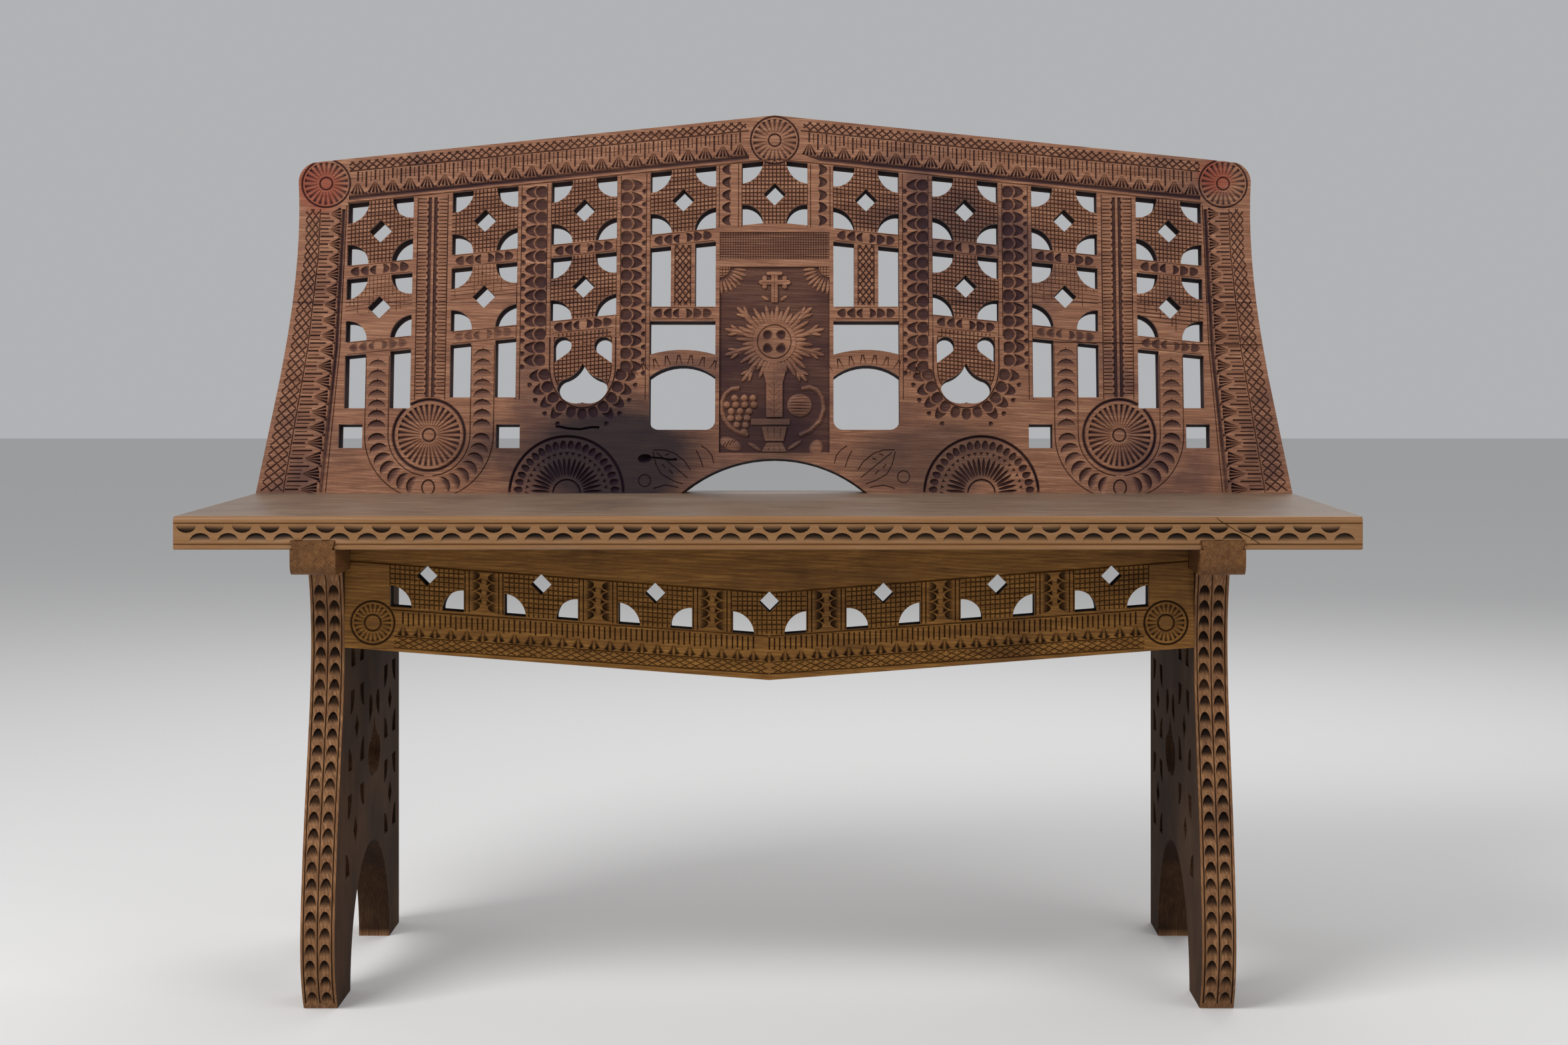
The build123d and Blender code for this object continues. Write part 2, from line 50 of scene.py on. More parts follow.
board = {
    "tile": 0.0437, "crestRound": 2.4, "crestAngle": 60, "arrisAngle": 32, "smoothAngle": 26,
    "flatArea": 4e-5, "mendArea": 1e-5, "mendCorners": 9, "fold": 1.02, "seamReach": 2,
}
bareBoards = {}      # surface of each board before it is carved
carved = {}          # carved piece of each board
cutters = {}         # one stack of cutting shapes per layer, layers are cut one after the other
stackLimit = 900     # points in a stack before the next one is begun
lift = 0.5           # how far a cutter stands above the wood
profileTall = 1.5    # height of a three-sided profile of radius 1
profileHalf = 0.866  # and half its width


# a carving face: u along, v up, h out of the wood, all in mm
def carvingFace(origin, along, up):
    along, up = Vector(along), Vector(up)
    turn = Matrix((along, up, along.cross(up))).transposed().to_4x4()
    return Matrix.Translation(origin) @ turn @ Matrix.Scale(mm, 4)


def sunk(face, depth):
    return face @ Matrix.Translation((0, 0, -depth))


# place on a face, turned about the face's normal
def placeAt(at, turn=0.0, h=0.0):
    return Matrix.Translation((at[0], at[1], h)) @ Matrix.Rotation(turn, 4, 'Z')


def toward(a):
    return Vector((cos(a), sin(a)))


def onRing(at, a, rx, ry=None):
    return (at[0] + rx * cos(a), at[1] + (rx if ry is None else ry) * sin(a))


def arcPoints(at, rx, ry, begin, end, steps):
    return [onRing(at, radians(begin + (end - begin) * i / steps), rx, ry) for i in range(steps + 1)]


def addObject(name, data):
    made = bpy.data.objects.new(name, data)
    scene.collection.objects.link(made)
    return made


def addMesh(name, bm):
    mesh = bpy.data.meshes.new(name)
    bm.to_mesh(mesh)
    bm.free()
    return addObject(name, mesh)


def cutter(layer):
    stack = cutters.setdefault(layer, [])
    if not stack or len(stack[-1].verts) > stackLimit:
        stack.append(bmesh.new())
    return stack[-1]


def cone(layer, place, segments, r1, r2, depth):
    bmesh.ops.create_cone(cutter(layer), cap_ends=True, segments=segments, radius1=r1, radius2=r2, depth=depth,
                          matrix=place)


def edgesOf(verts):
    return list({e for v in verts for e in v.link_edges})


def profileLoop(bm, r, place):
    return bmesh.ops.create_circle(bm, cap_ends=False, segments=3, radius=r, matrix=place)["verts"]


# V groove from start to end, its width follows its depth
def vCut(layer, face, start, end, width, depth, endDepth=None):
    endDepth = depth if endDepth is None else endDepth
    run = Vector((end[0] - start[0], end[1] - start[1], 0))
    r1, r2 = (depth + lift) / profileTall, (endDepth + lift) / profileTall
    low = Vector((start[0], start[1], lift - r1 / 2))
    high = Vector((end[0], end[1], lift - r2 / 2))
    across = Vector((-run.y, run.x, 0)).normalized() * (width * profileHalf / max(depth, endDepth))
    place = Matrix((across, (0, 0, -1), (high - low) / run.length)).transposed().to_4x4()
    place.translation = (low + high) / 2
    cone(layer, face @ place, 3, r1, r2, run.length)


# upside-down pyramid with three corners, the first one points along turn
def chip(layer, face, at, wide, long, turn, depth):
    k = (depth + lift) / depth * hand.uniform(0.94, 1.03)
    place = face @ placeAt(at, turn, (lift - depth) / 2) @ Matrix.Diagonal((wide * k, long * k, 1, 1))
    cone(layer, place, 3, 0, 1, depth + lift)


# gouge mark: round wall on the deep side, floor that rises to nothing
def scoop(layer, face, at, wide, long, turn, depth, reach):
    depth *= hand.uniform(0.9, 1.1)
    turn += hand.uniform(-0.05, 0.05)
    slope = depth / (1 + reach)
    tall = depth + lift
    shear = Matrix(((wide, 0, 0, 0), (0, long, 0, 0), (0, -slope, tall, tall / 2 - slope * reach), (0, 0, 0, 1)))
    cone(layer, face @ placeAt(at, turn) @ shear, 16, 1, 1, 1)


# round hollow of a wide gouge, bend draws its ends back, flat cuts its near side off
def dish(layer, face, at, wide, long, turn, depth, bend=0.0, flat=1.0):
    place = face @ placeAt(at, turn + hand.uniform(-0.05, 0.05))
    depth *= hand.uniform(0.9, 1.1)
    for v in bmesh.ops.create_uvsphere(cutter(layer), u_segments=14, v_segments=8, radius=1)["verts"]:
        v.co = place @ Vector((v.co.x * wide, max(v.co.y, -flat) * long - bend * v.co.x ** 2, v.co.z * depth))


# square-edged pocket, its floor split into tiles
def pocket(layer, face, left, right, low, high, depth, tiles=0):
    bm = cutter(layer)
    place = face @ placeAt(((left + right) / 2, (low + high) / 2), 0, (lift - depth) / 2)
    shape = Matrix.Diagonal((right - left, high - low, depth + lift, 1))
    cube = bmesh.ops.create_cube(bm, size=1, matrix=place @ shape)["verts"]
    if tiles:
        bmesh.ops.subdivide_edges(bm, edges=edgesOf(cube), cuts=tiles, use_grid_fill=True)


# closed ring groove
def ringCut(layer, face, at, radius, width, depth, steps=48, flat=1.0):
    bm = cutter(layer)
    r = (depth + lift) / profileTall
    wide = width * profileHalf / depth
    rim = profileLoop(bm, r, Matrix(((wide, 0, 0, radius), (0, 0, 0, 0), (0, -1, 0, lift - r / 2), (0, 0, 0, 1))))
    loop = rim + edgesOf(rim)
    before = set(bm.verts) - set(rim)
    bmesh.ops.spin(bm, geom=loop, cent=(0, 0, 0), axis=(0, 0, 1), angle=2 * pi, steps=steps, use_merge=True)
    made = [v for v in bm.verts if v not in before]
    bmesh.ops.transform(bm, matrix=face @ placeAt(at) @ Matrix.Diagonal((1, flat, 1, 1)), verts=made)


# three-sided profile drawn through a row of places, closed at both ends
def sweep(layer, places, r):
    bm = cutter(layer)
    loops = [edgesOf(profileLoop(bm, r, place)) for place in places]
    for a, b in zip(loops, loops[1:]):
        bmesh.ops.bridge_loops(bm, edges=a + b)
    bmesh.ops.holes_fill(bm, edges=loops[0] + loops[-1], sides=0)


# V groove along a line of points, or a ridge where depth is negative
def lineCut(layer, face, points, width, depth):
    r = (abs(depth) + lift) / profileTall
    side = 1 if depth > 0 else -1
    places = []
    for i, p in enumerate(points):
        a, b = points[max(i - 1, 0)], points[min(i + 1, len(points) - 1)]
        run = Vector((b[0] - a[0], b[1] - a[1], 0)).normalized()
        across = Vector((-run.y, run.x, 0))
        place = Matrix((across * width * profileHalf / abs(depth), (0, 0, -side), run)).transposed().to_4x4()
        place.translation = (p[0], p[1], side * (lift - r / 2))
        places.append(face @ place)
    sweep(layer, places, r)


# all waiting layers become tool objects, in the order they were begun
def sharpen():
    tools = []
    for layer, stack in cutters.items():
        bm = bmesh.new()
        for part in stack:
            mesh = bpy.data.meshes.new(layer)
            part.to_mesh(mesh)
            part.free()
            bm.from_mesh(mesh)
            bpy.data.meshes.remove(mesh)
        bmesh.ops.recalc_face_normals(bm, faces=bm.faces)
        tools.append(addMesh(layer, bm))
    cutters.clear()
    return tools


def soften(bm, angle, width, segments, within=None):
    edges = [e for e in bm.edges if e.calc_face_angle(0) > radians(angle)
             and (within is None or all(within(v.co) for v in e.verts))]
    bmesh.ops.bevel(bm, geom=edges, offset=width * mm, segments=segments, profile=0.5, affect='EDGES',
                    clamp_overlap=True, material=-1)


# copy of a CAD board with welded faces and eased arrises, large faces split into tiles
def blank(nodeName, ease, tiles=(), seam=None, worn=None):
    bm = bmesh.new()
    bm.from_mesh(nodes[nodeName].data)
    bmesh.ops.remove_doubles(bm, verts=bm.verts, dist=1e-6)
    bmesh.ops.dissolve_limit(bm, angle_limit=radians(1), verts=bm.verts, edges=bm.edges)
    for axis, low, high in tiles:
        for i in range(int((high - low) / board["tile"]) + 1):
            at = Vector((0, 0, 0))
            at[axis] = low + i * board["tile"]
            bmesh.ops.bisect_plane(bm, geom=bm.verts[:] + bm.edges[:] + bm.faces[:], plane_co=at,
                                   plane_no=[float(k == axis) for k in range(3)])
    if worn:
        soften(bm, board["crestAngle"], board["crestRound"], 3, worn)
    soften(bm, board["arrisAngle"], ease, 2)
    piece = addMesh(nodeName + "_carved", bm)
    mesh = piece.data
    outer = [p.vertices for p in mesh.polygons
             if not seam or abs((p.center - seam[0]).dot(seam[1])) > board["seamReach"] * mm]
    bareBoards[piece.name] = BVHTree.FromPolygons([v.co for v in mesh.vertices], outer)
    carved[nodeName] = piece
    return piece


# depth of every point below the uncarved board, and whether it lies within the outline, kept for the grime and
# painted shade in the finish
def markDepth(piece, floors, within):
    bare = bareBoards[piece.name]
    depths, inside = [], []
    for v in piece.data.vertices:
        inside.append(float(bool(within and within(v.co))))
        gone = bare.find_nearest(v.co)[3] or 0.0
        for face, left, right, low, high, depth in floors:
            at = face.inverted() @ v.co
            if left < at.x < right and low < at.y < high and at.z < 0.2:
                gone = max(0.0, gone - depth * mm)
        depths.append(gone)
    for name, values in (("cutDepth", depths), ("inside", inside)):
        layer = piece.data.attributes.new(name, 'FLOAT', 'POINT')
        layer.data.foreach_set("value", values)


# cuts all waiting layers into the boards, a layer that raises goes onto the board it names
def carve(*pieces):
    tools = sharpen()
    print(pieces[0].name, "cutters", [(t.name, len(t.data.polygons)) for t in tools])
    for piece in pieces:
        for tool in tools:
            raises = tool.name.startswith("raise")
            if raises and tool.name.split()[1] not in piece.name:
                continue
            knife = piece.modifiers.new("knife", 'BOOLEAN')
            knife.operation = 'UNION' if raises else 'DIFFERENCE'
            knife.solver = 'MANIFOLD'
            knife.object = tool
            bpy.context.view_layer.update()
            cut = bpy.data.meshes.new_from_object(piece.evaluated_get(bpy.context.evaluated_depsgraph_get()))
            piece.modifiers.clear()
            old = piece.data
            piece.data = cut
            bpy.data.meshes.remove(old)
    for tool in tools:
        mesh = tool.data
        bpy.data.objects.remove(tool)
        bpy.data.meshes.remove(mesh)


# large faces full of cuts are filled anew where their triangles would fold over
def mend(bm):
    spread = {}
    for a, b, c in bm.calc_loop_triangles():
        area = (b.vert.co - a.vert.co).cross(c.vert.co - a.vert.co).length / 2
        spread[a.face] = spread.get(a.face, 0.0) + area
    folded = [f for f, area in spread.items() if f.calc_area() > board["mendArea"]
              and len(f.verts) > board["mendCorners"] and area > board["fold"] * f.calc_area()]
    for f in folded:
        rim, normal = f.edges[:], f.normal.copy()
        bmesh.ops.delete(bm, geom=[f], context='FACES_ONLY')
        bmesh.ops.triangle_fill(bm, use_beauty=True, edges=rim, normal=normal)
    bm.faces.index_update()
    return len(folded)


# finish of a carved piece, smooth only within one gouge mark, so that flat faces stay flat
def dress(piece, nodeName, wood, floors=(), within=None):
    bm = bmesh.new()
    bm.from_mesh(piece.data)
    folded = mend(bm)
    big = {f.index for f in bm.faces if f.calc_area() > board["flatArea"]}
    for f in bm.faces:
        f.smooth = f.index not in big
    for e in bm.edges:
        flat = any(f.index in big for f in e.link_faces)
        e.smooth = e.calc_face_angle(0) < radians(board["smoothAngle"]) and not flat
    bm.to_mesh(piece.data)
    bm.free()
    markDepth(piece, floors, within)
    piece.data.materials.clear()
    piece.data.materials.append(wood)
    piece.data.name = piece.name
    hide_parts(nodeName)
    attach(piece, "root")
    print("carved", nodeName, len(piece.data.polygons), "faces", folded, "filled anew")


# border of slit tongues with shells between them, place(t, d) gives a point t along and d across
def tongueRow(face, place, begin, end, pitch, look):
    count = round((end - begin) / pitch)
    step = (end - begin) / count
    for i in range(count + 1):
        gap = begin + i * step
        apex, base = Vector(place(gap, look["gap"])), Vector(place(gap, look["tip"]))
        reach = (base - apex).length
        spread = atan2(0.5 * step, reach)
        wide = 1.96 * spread * reach / len(look["wedges"])
        vCut("slits", face, place(gap, look["top"]), apex, look["slit"], 1.7)
        for ray in look["wedges"]:
            way = Matrix.Rotation(ray * spread, 2) @ (base - apex) * hand.uniform(0.98, 1.04) / cos(ray * spread)
            vCut("fans", face, apex + way * 0.14, apex + way, wide, 0.3, look["deep"])
        if i == count:
            break
        for share, short, width in look["slits"]:
            t = gap + step * share + hand.uniform(-0.3, 0.3)
            low = look["slitEnd"] - short * look["scale"] - look["scale"] * hand.uniform(0, 1.5)
            vCut("slits", face, place(t, look["top"] + 0.8 * look["scale"]), place(t, low),
                 look["slit"] * width, 0.8 + 0.9 * width)
        if "notch" in look:     # tooth between two shells
            t = gap + step * 0.5
            up = Vector(place(t, look["notch"])) - Vector(place(t, look["notch"] + look["scale"]))
            chip("slits", face, place(t, look["notch"]), 3.2, 3.4, atan2(up.y, up.x) - pi / 2, 1.9)


# crossed lines between two depths of a border
def latticeRow(face, place, begin, end, top, bottom, pitch, run, width, depth):
    for i in range(int((end - begin + run) / pitch) + 1):
        t = begin - run + i * pitch
        a, b = max(0, (begin - t) / run), min(1, (end - t) / run)
        if b - a > 0.15:
            near, far = t + run * a, t + run * b
            d0, d1 = top + (bottom - top) * a, top + (bottom - top) * b
            vCut("slant", face, place(near, d0), place(far, d1), width, depth)
            vCut("backslant", face, place(near, top + bottom - d0), place(far, top + bottom - d1), width, depth)


# small squares left between grooves
def hatch(face, left, right, topLine, height, pitch, width, depth, share=1.0, taper=None):
    columns = round((right - left) / pitch)
    middle, half = (left + right) / 2, (right - left) / 2
    for i in range(1, columns):
        u = left + (right - left) * i / columns
        low = height * share * (1 if share == 1 else hand.uniform(0.5, 1.1))
        while taper and abs(u - middle) > taper(topLine(u) - low) and low > pitch:
            low -= 1
        vCut("down", face, (u, topLine(u) - 0.2), (u, topLine(u) - low + 0.2), width, depth)
    rows = round(height / pitch)
    for j in range(1, int(rows * share) + (share < 1)):
        d = height * j / rows
        reach = min(half, taper(topLine(middle) - d)) if taper else half
        a, b = middle - reach - 0.3, middle + reach + 0.3
        vCut("level", face, (a, topLine(a) - d), (b, topLine(b) - d), width, depth)


def wheel(face, at, look):
    ringCut("rings", face, at, look["rim"], look["rimWidth"], look["rimDepth"])
    ringCut("rings", face, at, look["boss"] + 1.5, 2.4, 1.6, 32)
    width = 2 * pi * look["far"] / look["spokes"] * 0.74
    for i in range(look["spokes"]):
        a = 2 * pi * (i + 0.5) / look["spokes"]
        vCut("slits", face, onRing(at, a, look["near"]), onRing(at, a, look["far"]), width, 0.5, look["deep"])


print("carving tools ready")

back = {
    "lean": 7.5, "setback": 365.04, "crest": 395.5, "slope": 0.104, "lattice": 348.5, "joint": 197.5,
    "unit": 68, "unitHeight": 66, "rowPitch": 80, "bar": 14, "hatchPitch": 4.1, "hub": (355.25, 60),
    "columns": {"centre": (0, 1), "inner": (95, 1), "second": (198, 3), "third": (301, 2), "outer": (409.5, 2)},
    "outer": ((0, 531.5), (150, 503), (250, 490), (300, 489.5)), "inner": ((0, 460.5), (150, 449), (300, 445)),
    "worn": {(-1, "outer", 1): 0.55, (-1, "third", 1): 0.5, (1, "third", 1): 0.6, (1, "outer", 1): 0.8},
}
topBorder = {
    "scale": 1, "top": 14.6, "slitEnd": 33, "gap": 25, "tip": 38.3, "deep": 2.6, "slit": 2.3, "notch": 39,
    "wedges": (-0.76, -0.26, 0.26, 0.76), "slits": ((0.25, 6, 0.5), (0.5, 0, 1), (0.75, 6, 0.5)),
}
sideBorder = {**topBorder, "scale": 0.018, "top": 0.40, "slitEnd": 0.74, "gap": 0.60, "tip": 0.87, "notch": 0.89}
backWheel = {
    "rim": 36.8, "rimWidth": 4.2, "rimDepth": 2.4, "boss": 5, "spokes": 32, "near": 9.5, "far": 32, "deep": 2.2,
}
cornerWheel = {
    "rim": 25, "rimWidth": 2.6, "rimDepth": 1.8, "boss": 5, "spokes": 22, "near": 9, "far": 22.5, "deep": 1.9,
}
bowl = {"middle": 131, "half": 29, "drop": 37.5, "rim": (34, 43), "step": 16}
scales = {"pitch": 13.6, "last": 127}

lean = radians(back["lean"])
backUp = Vector((0, sin(lean), cos(lean)))
backOrigin = Vector((0, seatFront + back["setback"] * mm, 0.450))
backFace = carvingFace(backOrigin, (1, 0, 0), backUp)
columnAt = {name: u for name, (u, rows) in back["columns"].items()}


def crestLine(u):
    return back["crest"] - back["slope"] * abs(u)


def latticeLine(u):
    return back["lattice"] - back["slope"] * abs(u)


def between(v, table):
    for (v0, a), (v1, b) in zip(table, table[1:]):
        if v <= v1:
            return a + (b - a) * (v - v0) / (v1 - v0)
    return table[-1][1]


emblem = {
    "half": 57, "low": 42, "high": 235.5, "deep": 2.4, "band": (243, 272), "bandDeep": 1.8, "trim": 0.0574,
    "sun": (0, 157), "disc": 23.5, "rays": 40, "root": 17, "tails": (15, 43, 137, 165, 195, 231, 309, 345),
    "grape": 4.0,
    "grapes": ((98.5, (-41, -31, -22)), (91.6, (-49, -39.8, -30.4, -21)), (84.8, (-44.4, -35.2, -26)),
               (77.8, (-45, -36.6, -28)), (70.6, (-38.6, -29.6)), (63.4, (-31,))),
    "leftHorn": ((-36, 109), (-44, 108), (-50.5, 103), (-54, 95), (-54, 85), (-51, 76), (-45, 68), (-37, 63),
                 (-27, 60)),
    "rightHorn": ((28, 108), (36, 110), (44, 107), (49.5, 99), (51, 87), (47, 75), (37, 65), (26, 60)),
    "leaves": ((-45, 51, 7, 13, 1.15), (43, 47, 7.5, 9.5, -0.3), (-20, 48, 2.6, 9, 1.0), (21, 50, 2.4, 9, -1.0)),
    "loaf": (26, 91), "loafReach": (13.5, 12.5), "heart": 11.6, "petal": 21.5,
}
panel = sunk(backFace, emblem["deep"])
sun = Vector(emblem["sun"])
footing = 0.6  # how far a raised form reaches into the panel's floor

# sunk bands first, so that the later cuts reach their floors
for s in (-1, 1):
    for near, far in ((350.6, 354), (356.5, 359.9)):
        pocket("sink", backFace, min(s * near, s * far), max(s * near, s * far), 99.5, 308.5, 1.6)
pocket("sink", backFace, -emblem["half"], emblem["half"], *emblem["band"], emblem["bandDeep"], tiles=5)
pocket("sink", backFace, -emblem["half"], emblem["half"], emblem["low"], emblem["high"], emblem["deep"], tiles=13)


# raised block on the panel, h from the panel's floor
def raiseBlock(layer, left, right, low, high, tall):
    place = panel @ placeAt(((left + right) / 2, (low + high) / 2), 0, tall / 2 - footing / 2)
    bmesh.ops.create_cube(cutter("raise " + layer), size=1,
                          matrix=place @ Matrix.Diagonal((right - left, high - low, tall + footing, 1)))


def raiseDisc(layer, at, r, top, tall, segments=32):
    cone("raise " + layer, panel @ placeAt(at, 0, tall / 2 - footing / 2), segments, r, top, tall + footing)


# raised spike from near to far, measured from the sun's centre
def raiseRay(layer, turn, near, far, nearWide, farWide, thick):
    place = panel @ placeAt(sun, turn) @ Matrix.Translation(((far + near) / 2, 0, 0.2))
    shape = Matrix.Rotation(pi / 2, 4, 'Y') @ Matrix.Diagonal((thick, 1, 1, 1))
    cone("raise " + layer, place @ shape, 4, nearWide, farWide, far - near)


# raised block that changes its width upwards
def raiseWedge(layer, low, high, wideLow, wideHigh):
    place = panel @ Matrix.Translation((0, (low + high) / 2, 0)) @ Matrix.Rotation(-pi / 2, 4, 'X')
    shape = Matrix.Diagonal((1, 0.16, 1, 1)) @ Matrix.Rotation(pi / 4, 4, 'Z')
    cone("raise " + layer, place @ shape, 4, wideLow * 1.414, wideHigh * 1.414, high - low)


# raised drop, pointed along turn
def raiseDrop(layer, at, wide, long, turn, tall, detail=2):
    bmesh.ops.create_icosphere(cutter("raise " + layer), subdivisions=detail, radius=1,
                               matrix=panel @ placeAt(at, turn) @ Matrix.Diagonal((wide, long, tall, 1)))


for i in range(emblem["rays"]):     # long and short rays by turns, below the joint of the boards
    a = 2 * pi * (i + 0.5) / emblem["rays"]
    far = min((44 if i % 2 else 37) - 3 * abs(cos(2 * a)), 39.5 / max(sin(a), 0.1))
    onSun = toward(a) * (far + emblem["root"]) / 2 + sun
    raiseDrop("lower sun" if i % 2 else "lower glow", onSun, 2.5, (far - emblem["root"]) / 2, a - pi / 2, 2.1)
for angle in emblem["tails"]:
    a = radians(angle)
    raiseRay("lower tails", a, 24, 44, 1.6, 4.2, 0.5)
    out, across = toward(a), Vector((-sin(a), cos(a)))
    raiseDrop("lower tips", out * 46 + sun, 2.4, 8, a - pi / 2, 2.2)
    for side in (-1, 1):
        barb = out * 43.6 + across * side * 3.3 + sun
        raiseDrop("lower barbs", barb, 2.0, 6.2, a - pi / 2 + side * 0.42, 2.0)
raiseDisc("lower disc", emblem["sun"], emblem["disc"], emblem["disc"] - 1.5, 2.2)
raiseBlock("upper shaft", -3.3, 3.3, 198.4, 228, 2.0)
raiseBlock("upper arms", -14, 14, 216.9, 221.7, 2.0)
raiseBlock("upper bar", -6, 6, 226.6, 230.4, 2.1)
for s in (-1, 1):
    raiseDisc("upper lobes", (s * 10.4, 223.6), 3, 2.4, 2.1, 16)
    raiseDisc("upper lobes", (s * 10.4, 215), 3, 2.4, 2.1, 16)
    raiseDisc("upper lobes", (s * 6.4, 228.5), 2.3, 1.8, 2.2, 16)
    raiseDisc("upper ends", (s * 14.6, 219.3), 3.4, 2.4, 2.0, 4)
    raiseDrop("upper wings", (s * 9.5, 202.6), 2.0, 5.0, -s * 0.95, 1.8)
# stem with its collar, ribbon, knot and loose end
raiseBlock("lower collar", -12.5, 12.5, 128, 134, 1.7)
raiseWedge("lower flare", 114, 128, 8.4, 12)
raiseBlock("lower stem", -8.4, 8.4, 79, 116, 1.9)
raiseBlock("lower ribbon", -24, 16, 71, 77, 1.2)
raiseWedge("lower knot", 54, 69, 9.5, 13)
raiseWedge("lower end", 43, 52.5, 13, 8)
for v, row in emblem["grapes"]:
    for u in row:
        raiseDrop("lower fruit", (u, v), emblem["grape"], emblem["grape"], 0, 2.4)
raiseDrop("lower loaf", emblem["loaf"], *emblem["loafReach"], 0, 2.7, 3)
for horn in ("leftHorn", "rightHorn"):
    lineCut("raise lower horns", panel, emblem[horn], 6.6, -2.2)
for u, v, wide, long, turn in emblem["leaves"]:
    raiseDrop("lower leaves", (u, v), wide, long, turn, 1.5)
for s in (-1, 1):     # quarter flowers in the panel's corners
    corner = (s * emblem["half"], emblem["high"])
    raiseDisc("upper hearts", corner, emblem["heart"], 11, 1.8)
    for i in range(8):
        a = radians(-7 - i * 11.2) if s < 0 else radians(187 + i * 11.2)
        long = 8.6 if i % 2 else 7.6
        raiseDrop("upper petals", onRing(corner, a, emblem["petal"]), 2.0, long, a - pi / 2, 1.7)
hearts = cutter("raise upper hearts")
for edge, away in ((Vector((emblem["trim"], 0, 0)), (1, 0, 0)), (Vector((-emblem["trim"], 0, 0)), (-1, 0, 0)),
                   (backFace @ Vector((0, 236, 0)), backUp)):
    trimmed = bmesh.ops.bisect_plane(hearts, geom=hearts.verts[:] + hearts.edges[:] + hearts.faces[:],
                                     plane_co=edge, plane_no=away, clear_outer=True)
    rim = [e for e in trimmed["geom_cut"] if isinstance(e, bmesh.types.BMEdge)]
    bmesh.ops.holes_fill(hearts, edges=rim, sides=0)

# four hollows round the middle of the disc, and lines on the raised forms
raised = sunk(backFace, 0.2)
for k in range(4):
    a = pi / 4 + k * pi / 2
    dish("chips", raised, onRing(emblem["sun"], a, 10.2), 5.6, 5.3, a - pi / 2, 3.0, 1.2)
ringCut("rings", raised, emblem["sun"], 17.4, 2.0, 1.5)
vCut("slits", raised, (0, 199), (0, 227), 1.0, 0.9)
vCut("level", raised, (-13, 219.3), (13, 219.3), 1.0, 0.9)
vCut("slits", raised, (0, 80), (0, 124), 1.3, 1.0)
for k in range(6):
    for side in (-1, 1):
        vCut("level", raised, (side * 6, 88.5 + 6 * k), (side * 1, 84 + 6 * k), 1.1, 0.8)
for k in (-1, 0, 1):     # folds of the knot and its end
    vCut("slits", raised, (7 * k, 67.5), (6 * k, 57), 1.2, 1.0)
    vCut("slits", raised, (4 * k, 51.5), (6 * k, 44), 1.2, 1.0)
u, v = emblem["loaf"]
for k in range(-3, 4):
    half = 12 * (1 - (k / 3.7) ** 2) ** 0.5
    vCut("level", backFace, (u - half, v + 3.2 * k), (u + half, v + 3.2 * k + hand.uniform(-0.6, 0.6)), 1.3, 1.5)
for k in range(5):
    vCut("slits", sunk(backFace, 1.4), (-54 + 4 * k, 46 + 2 * k), (-50 + 4 * k, 53 + 1.4 * k), 1.0, 0.8)
petalFace = sunk(backFace, 0.6)
for s in (-1, 1):
    for d in (3.2, 6.4, 9.2):     # squares in the hearts of the flowers
        end = (11.4 ** 2 - d * d) ** 0.5
        vCut("down", petalFace, (s * (57 - d), 235), (s * (57 - d), 235.5 - end), 1.2, 1.0)
        vCut("level", petalFace, (s * 56.6, 235.5 - d), (s * (57 - end), 235.5 - d), 1.2, 1.0)
# punched ground over the emblem
hatch(sunk(backFace, emblem["bandDeep"]), -56, 56, lambda u: 271.5, 28, 2.6, 1.1, 0.7)


# crescents on a bar
def barMarks(c, mid, slope, share=1.0):
    for far, wide, long, bend in ((7.2, 5.0, 3.2, 3.2), (15.6, 5.3, 4.5, 3.2), (25.6, 5.1, 4.7, 2.6)):
        for side in (-1, 1):
            at = (c + side * far, mid - slope * side * far)
            dish("chips", backFace, at, wide, long, -side * pi / 2, 2.4 * share, bend)
    for edge in (-6, 6):
        vCut("fillets", backFace, (c - 32, mid + edge + slope * 32), (c + 32, mid + edge - slope * 32), 0.9, 0.8)


def bowlHalf(v):
    return bowl["half"] * max(0.05, 1 - max(0, (bowl["middle"] - v) / bowl["drop"]) ** 2) ** 0.5


for s in (-1, 1):
    for name, (column, rows) in back["columns"].items():
        if column == 0 and s == 1:
            continue
        c = s * column
        for row in range(rows):
            # hatched unit, worn thin low on the back
            drop = row * back["rowPitch"]
            topOf = (lambda u, d=drop: latticeLine(u) - d) if column else (lambda u, d=drop: 346.5 - d)
            bowled = name == "second" and row == 2
            share = back["worn"].get((s, name, row), 1.0)
            half, height = (bowl["half"], 57) if bowled else (back["unit"] / 2, back["unitHeight"])
            hatch(backFace, c - half, c + half, topOf, height, back["hatchPitch"], 1.6 * min(1, share + 0.2),
                  1.4 * share, share, bowlHalf if bowled else None)
            if not (bowled or name == "centre"):
                mid = latticeLine(c) - drop - back["unitHeight"] - back["bar"] / 2
                barMarks(c, mid, s * back["slope"], share)
    barMarks(s * columnAt["inner"], 186.8, 0)

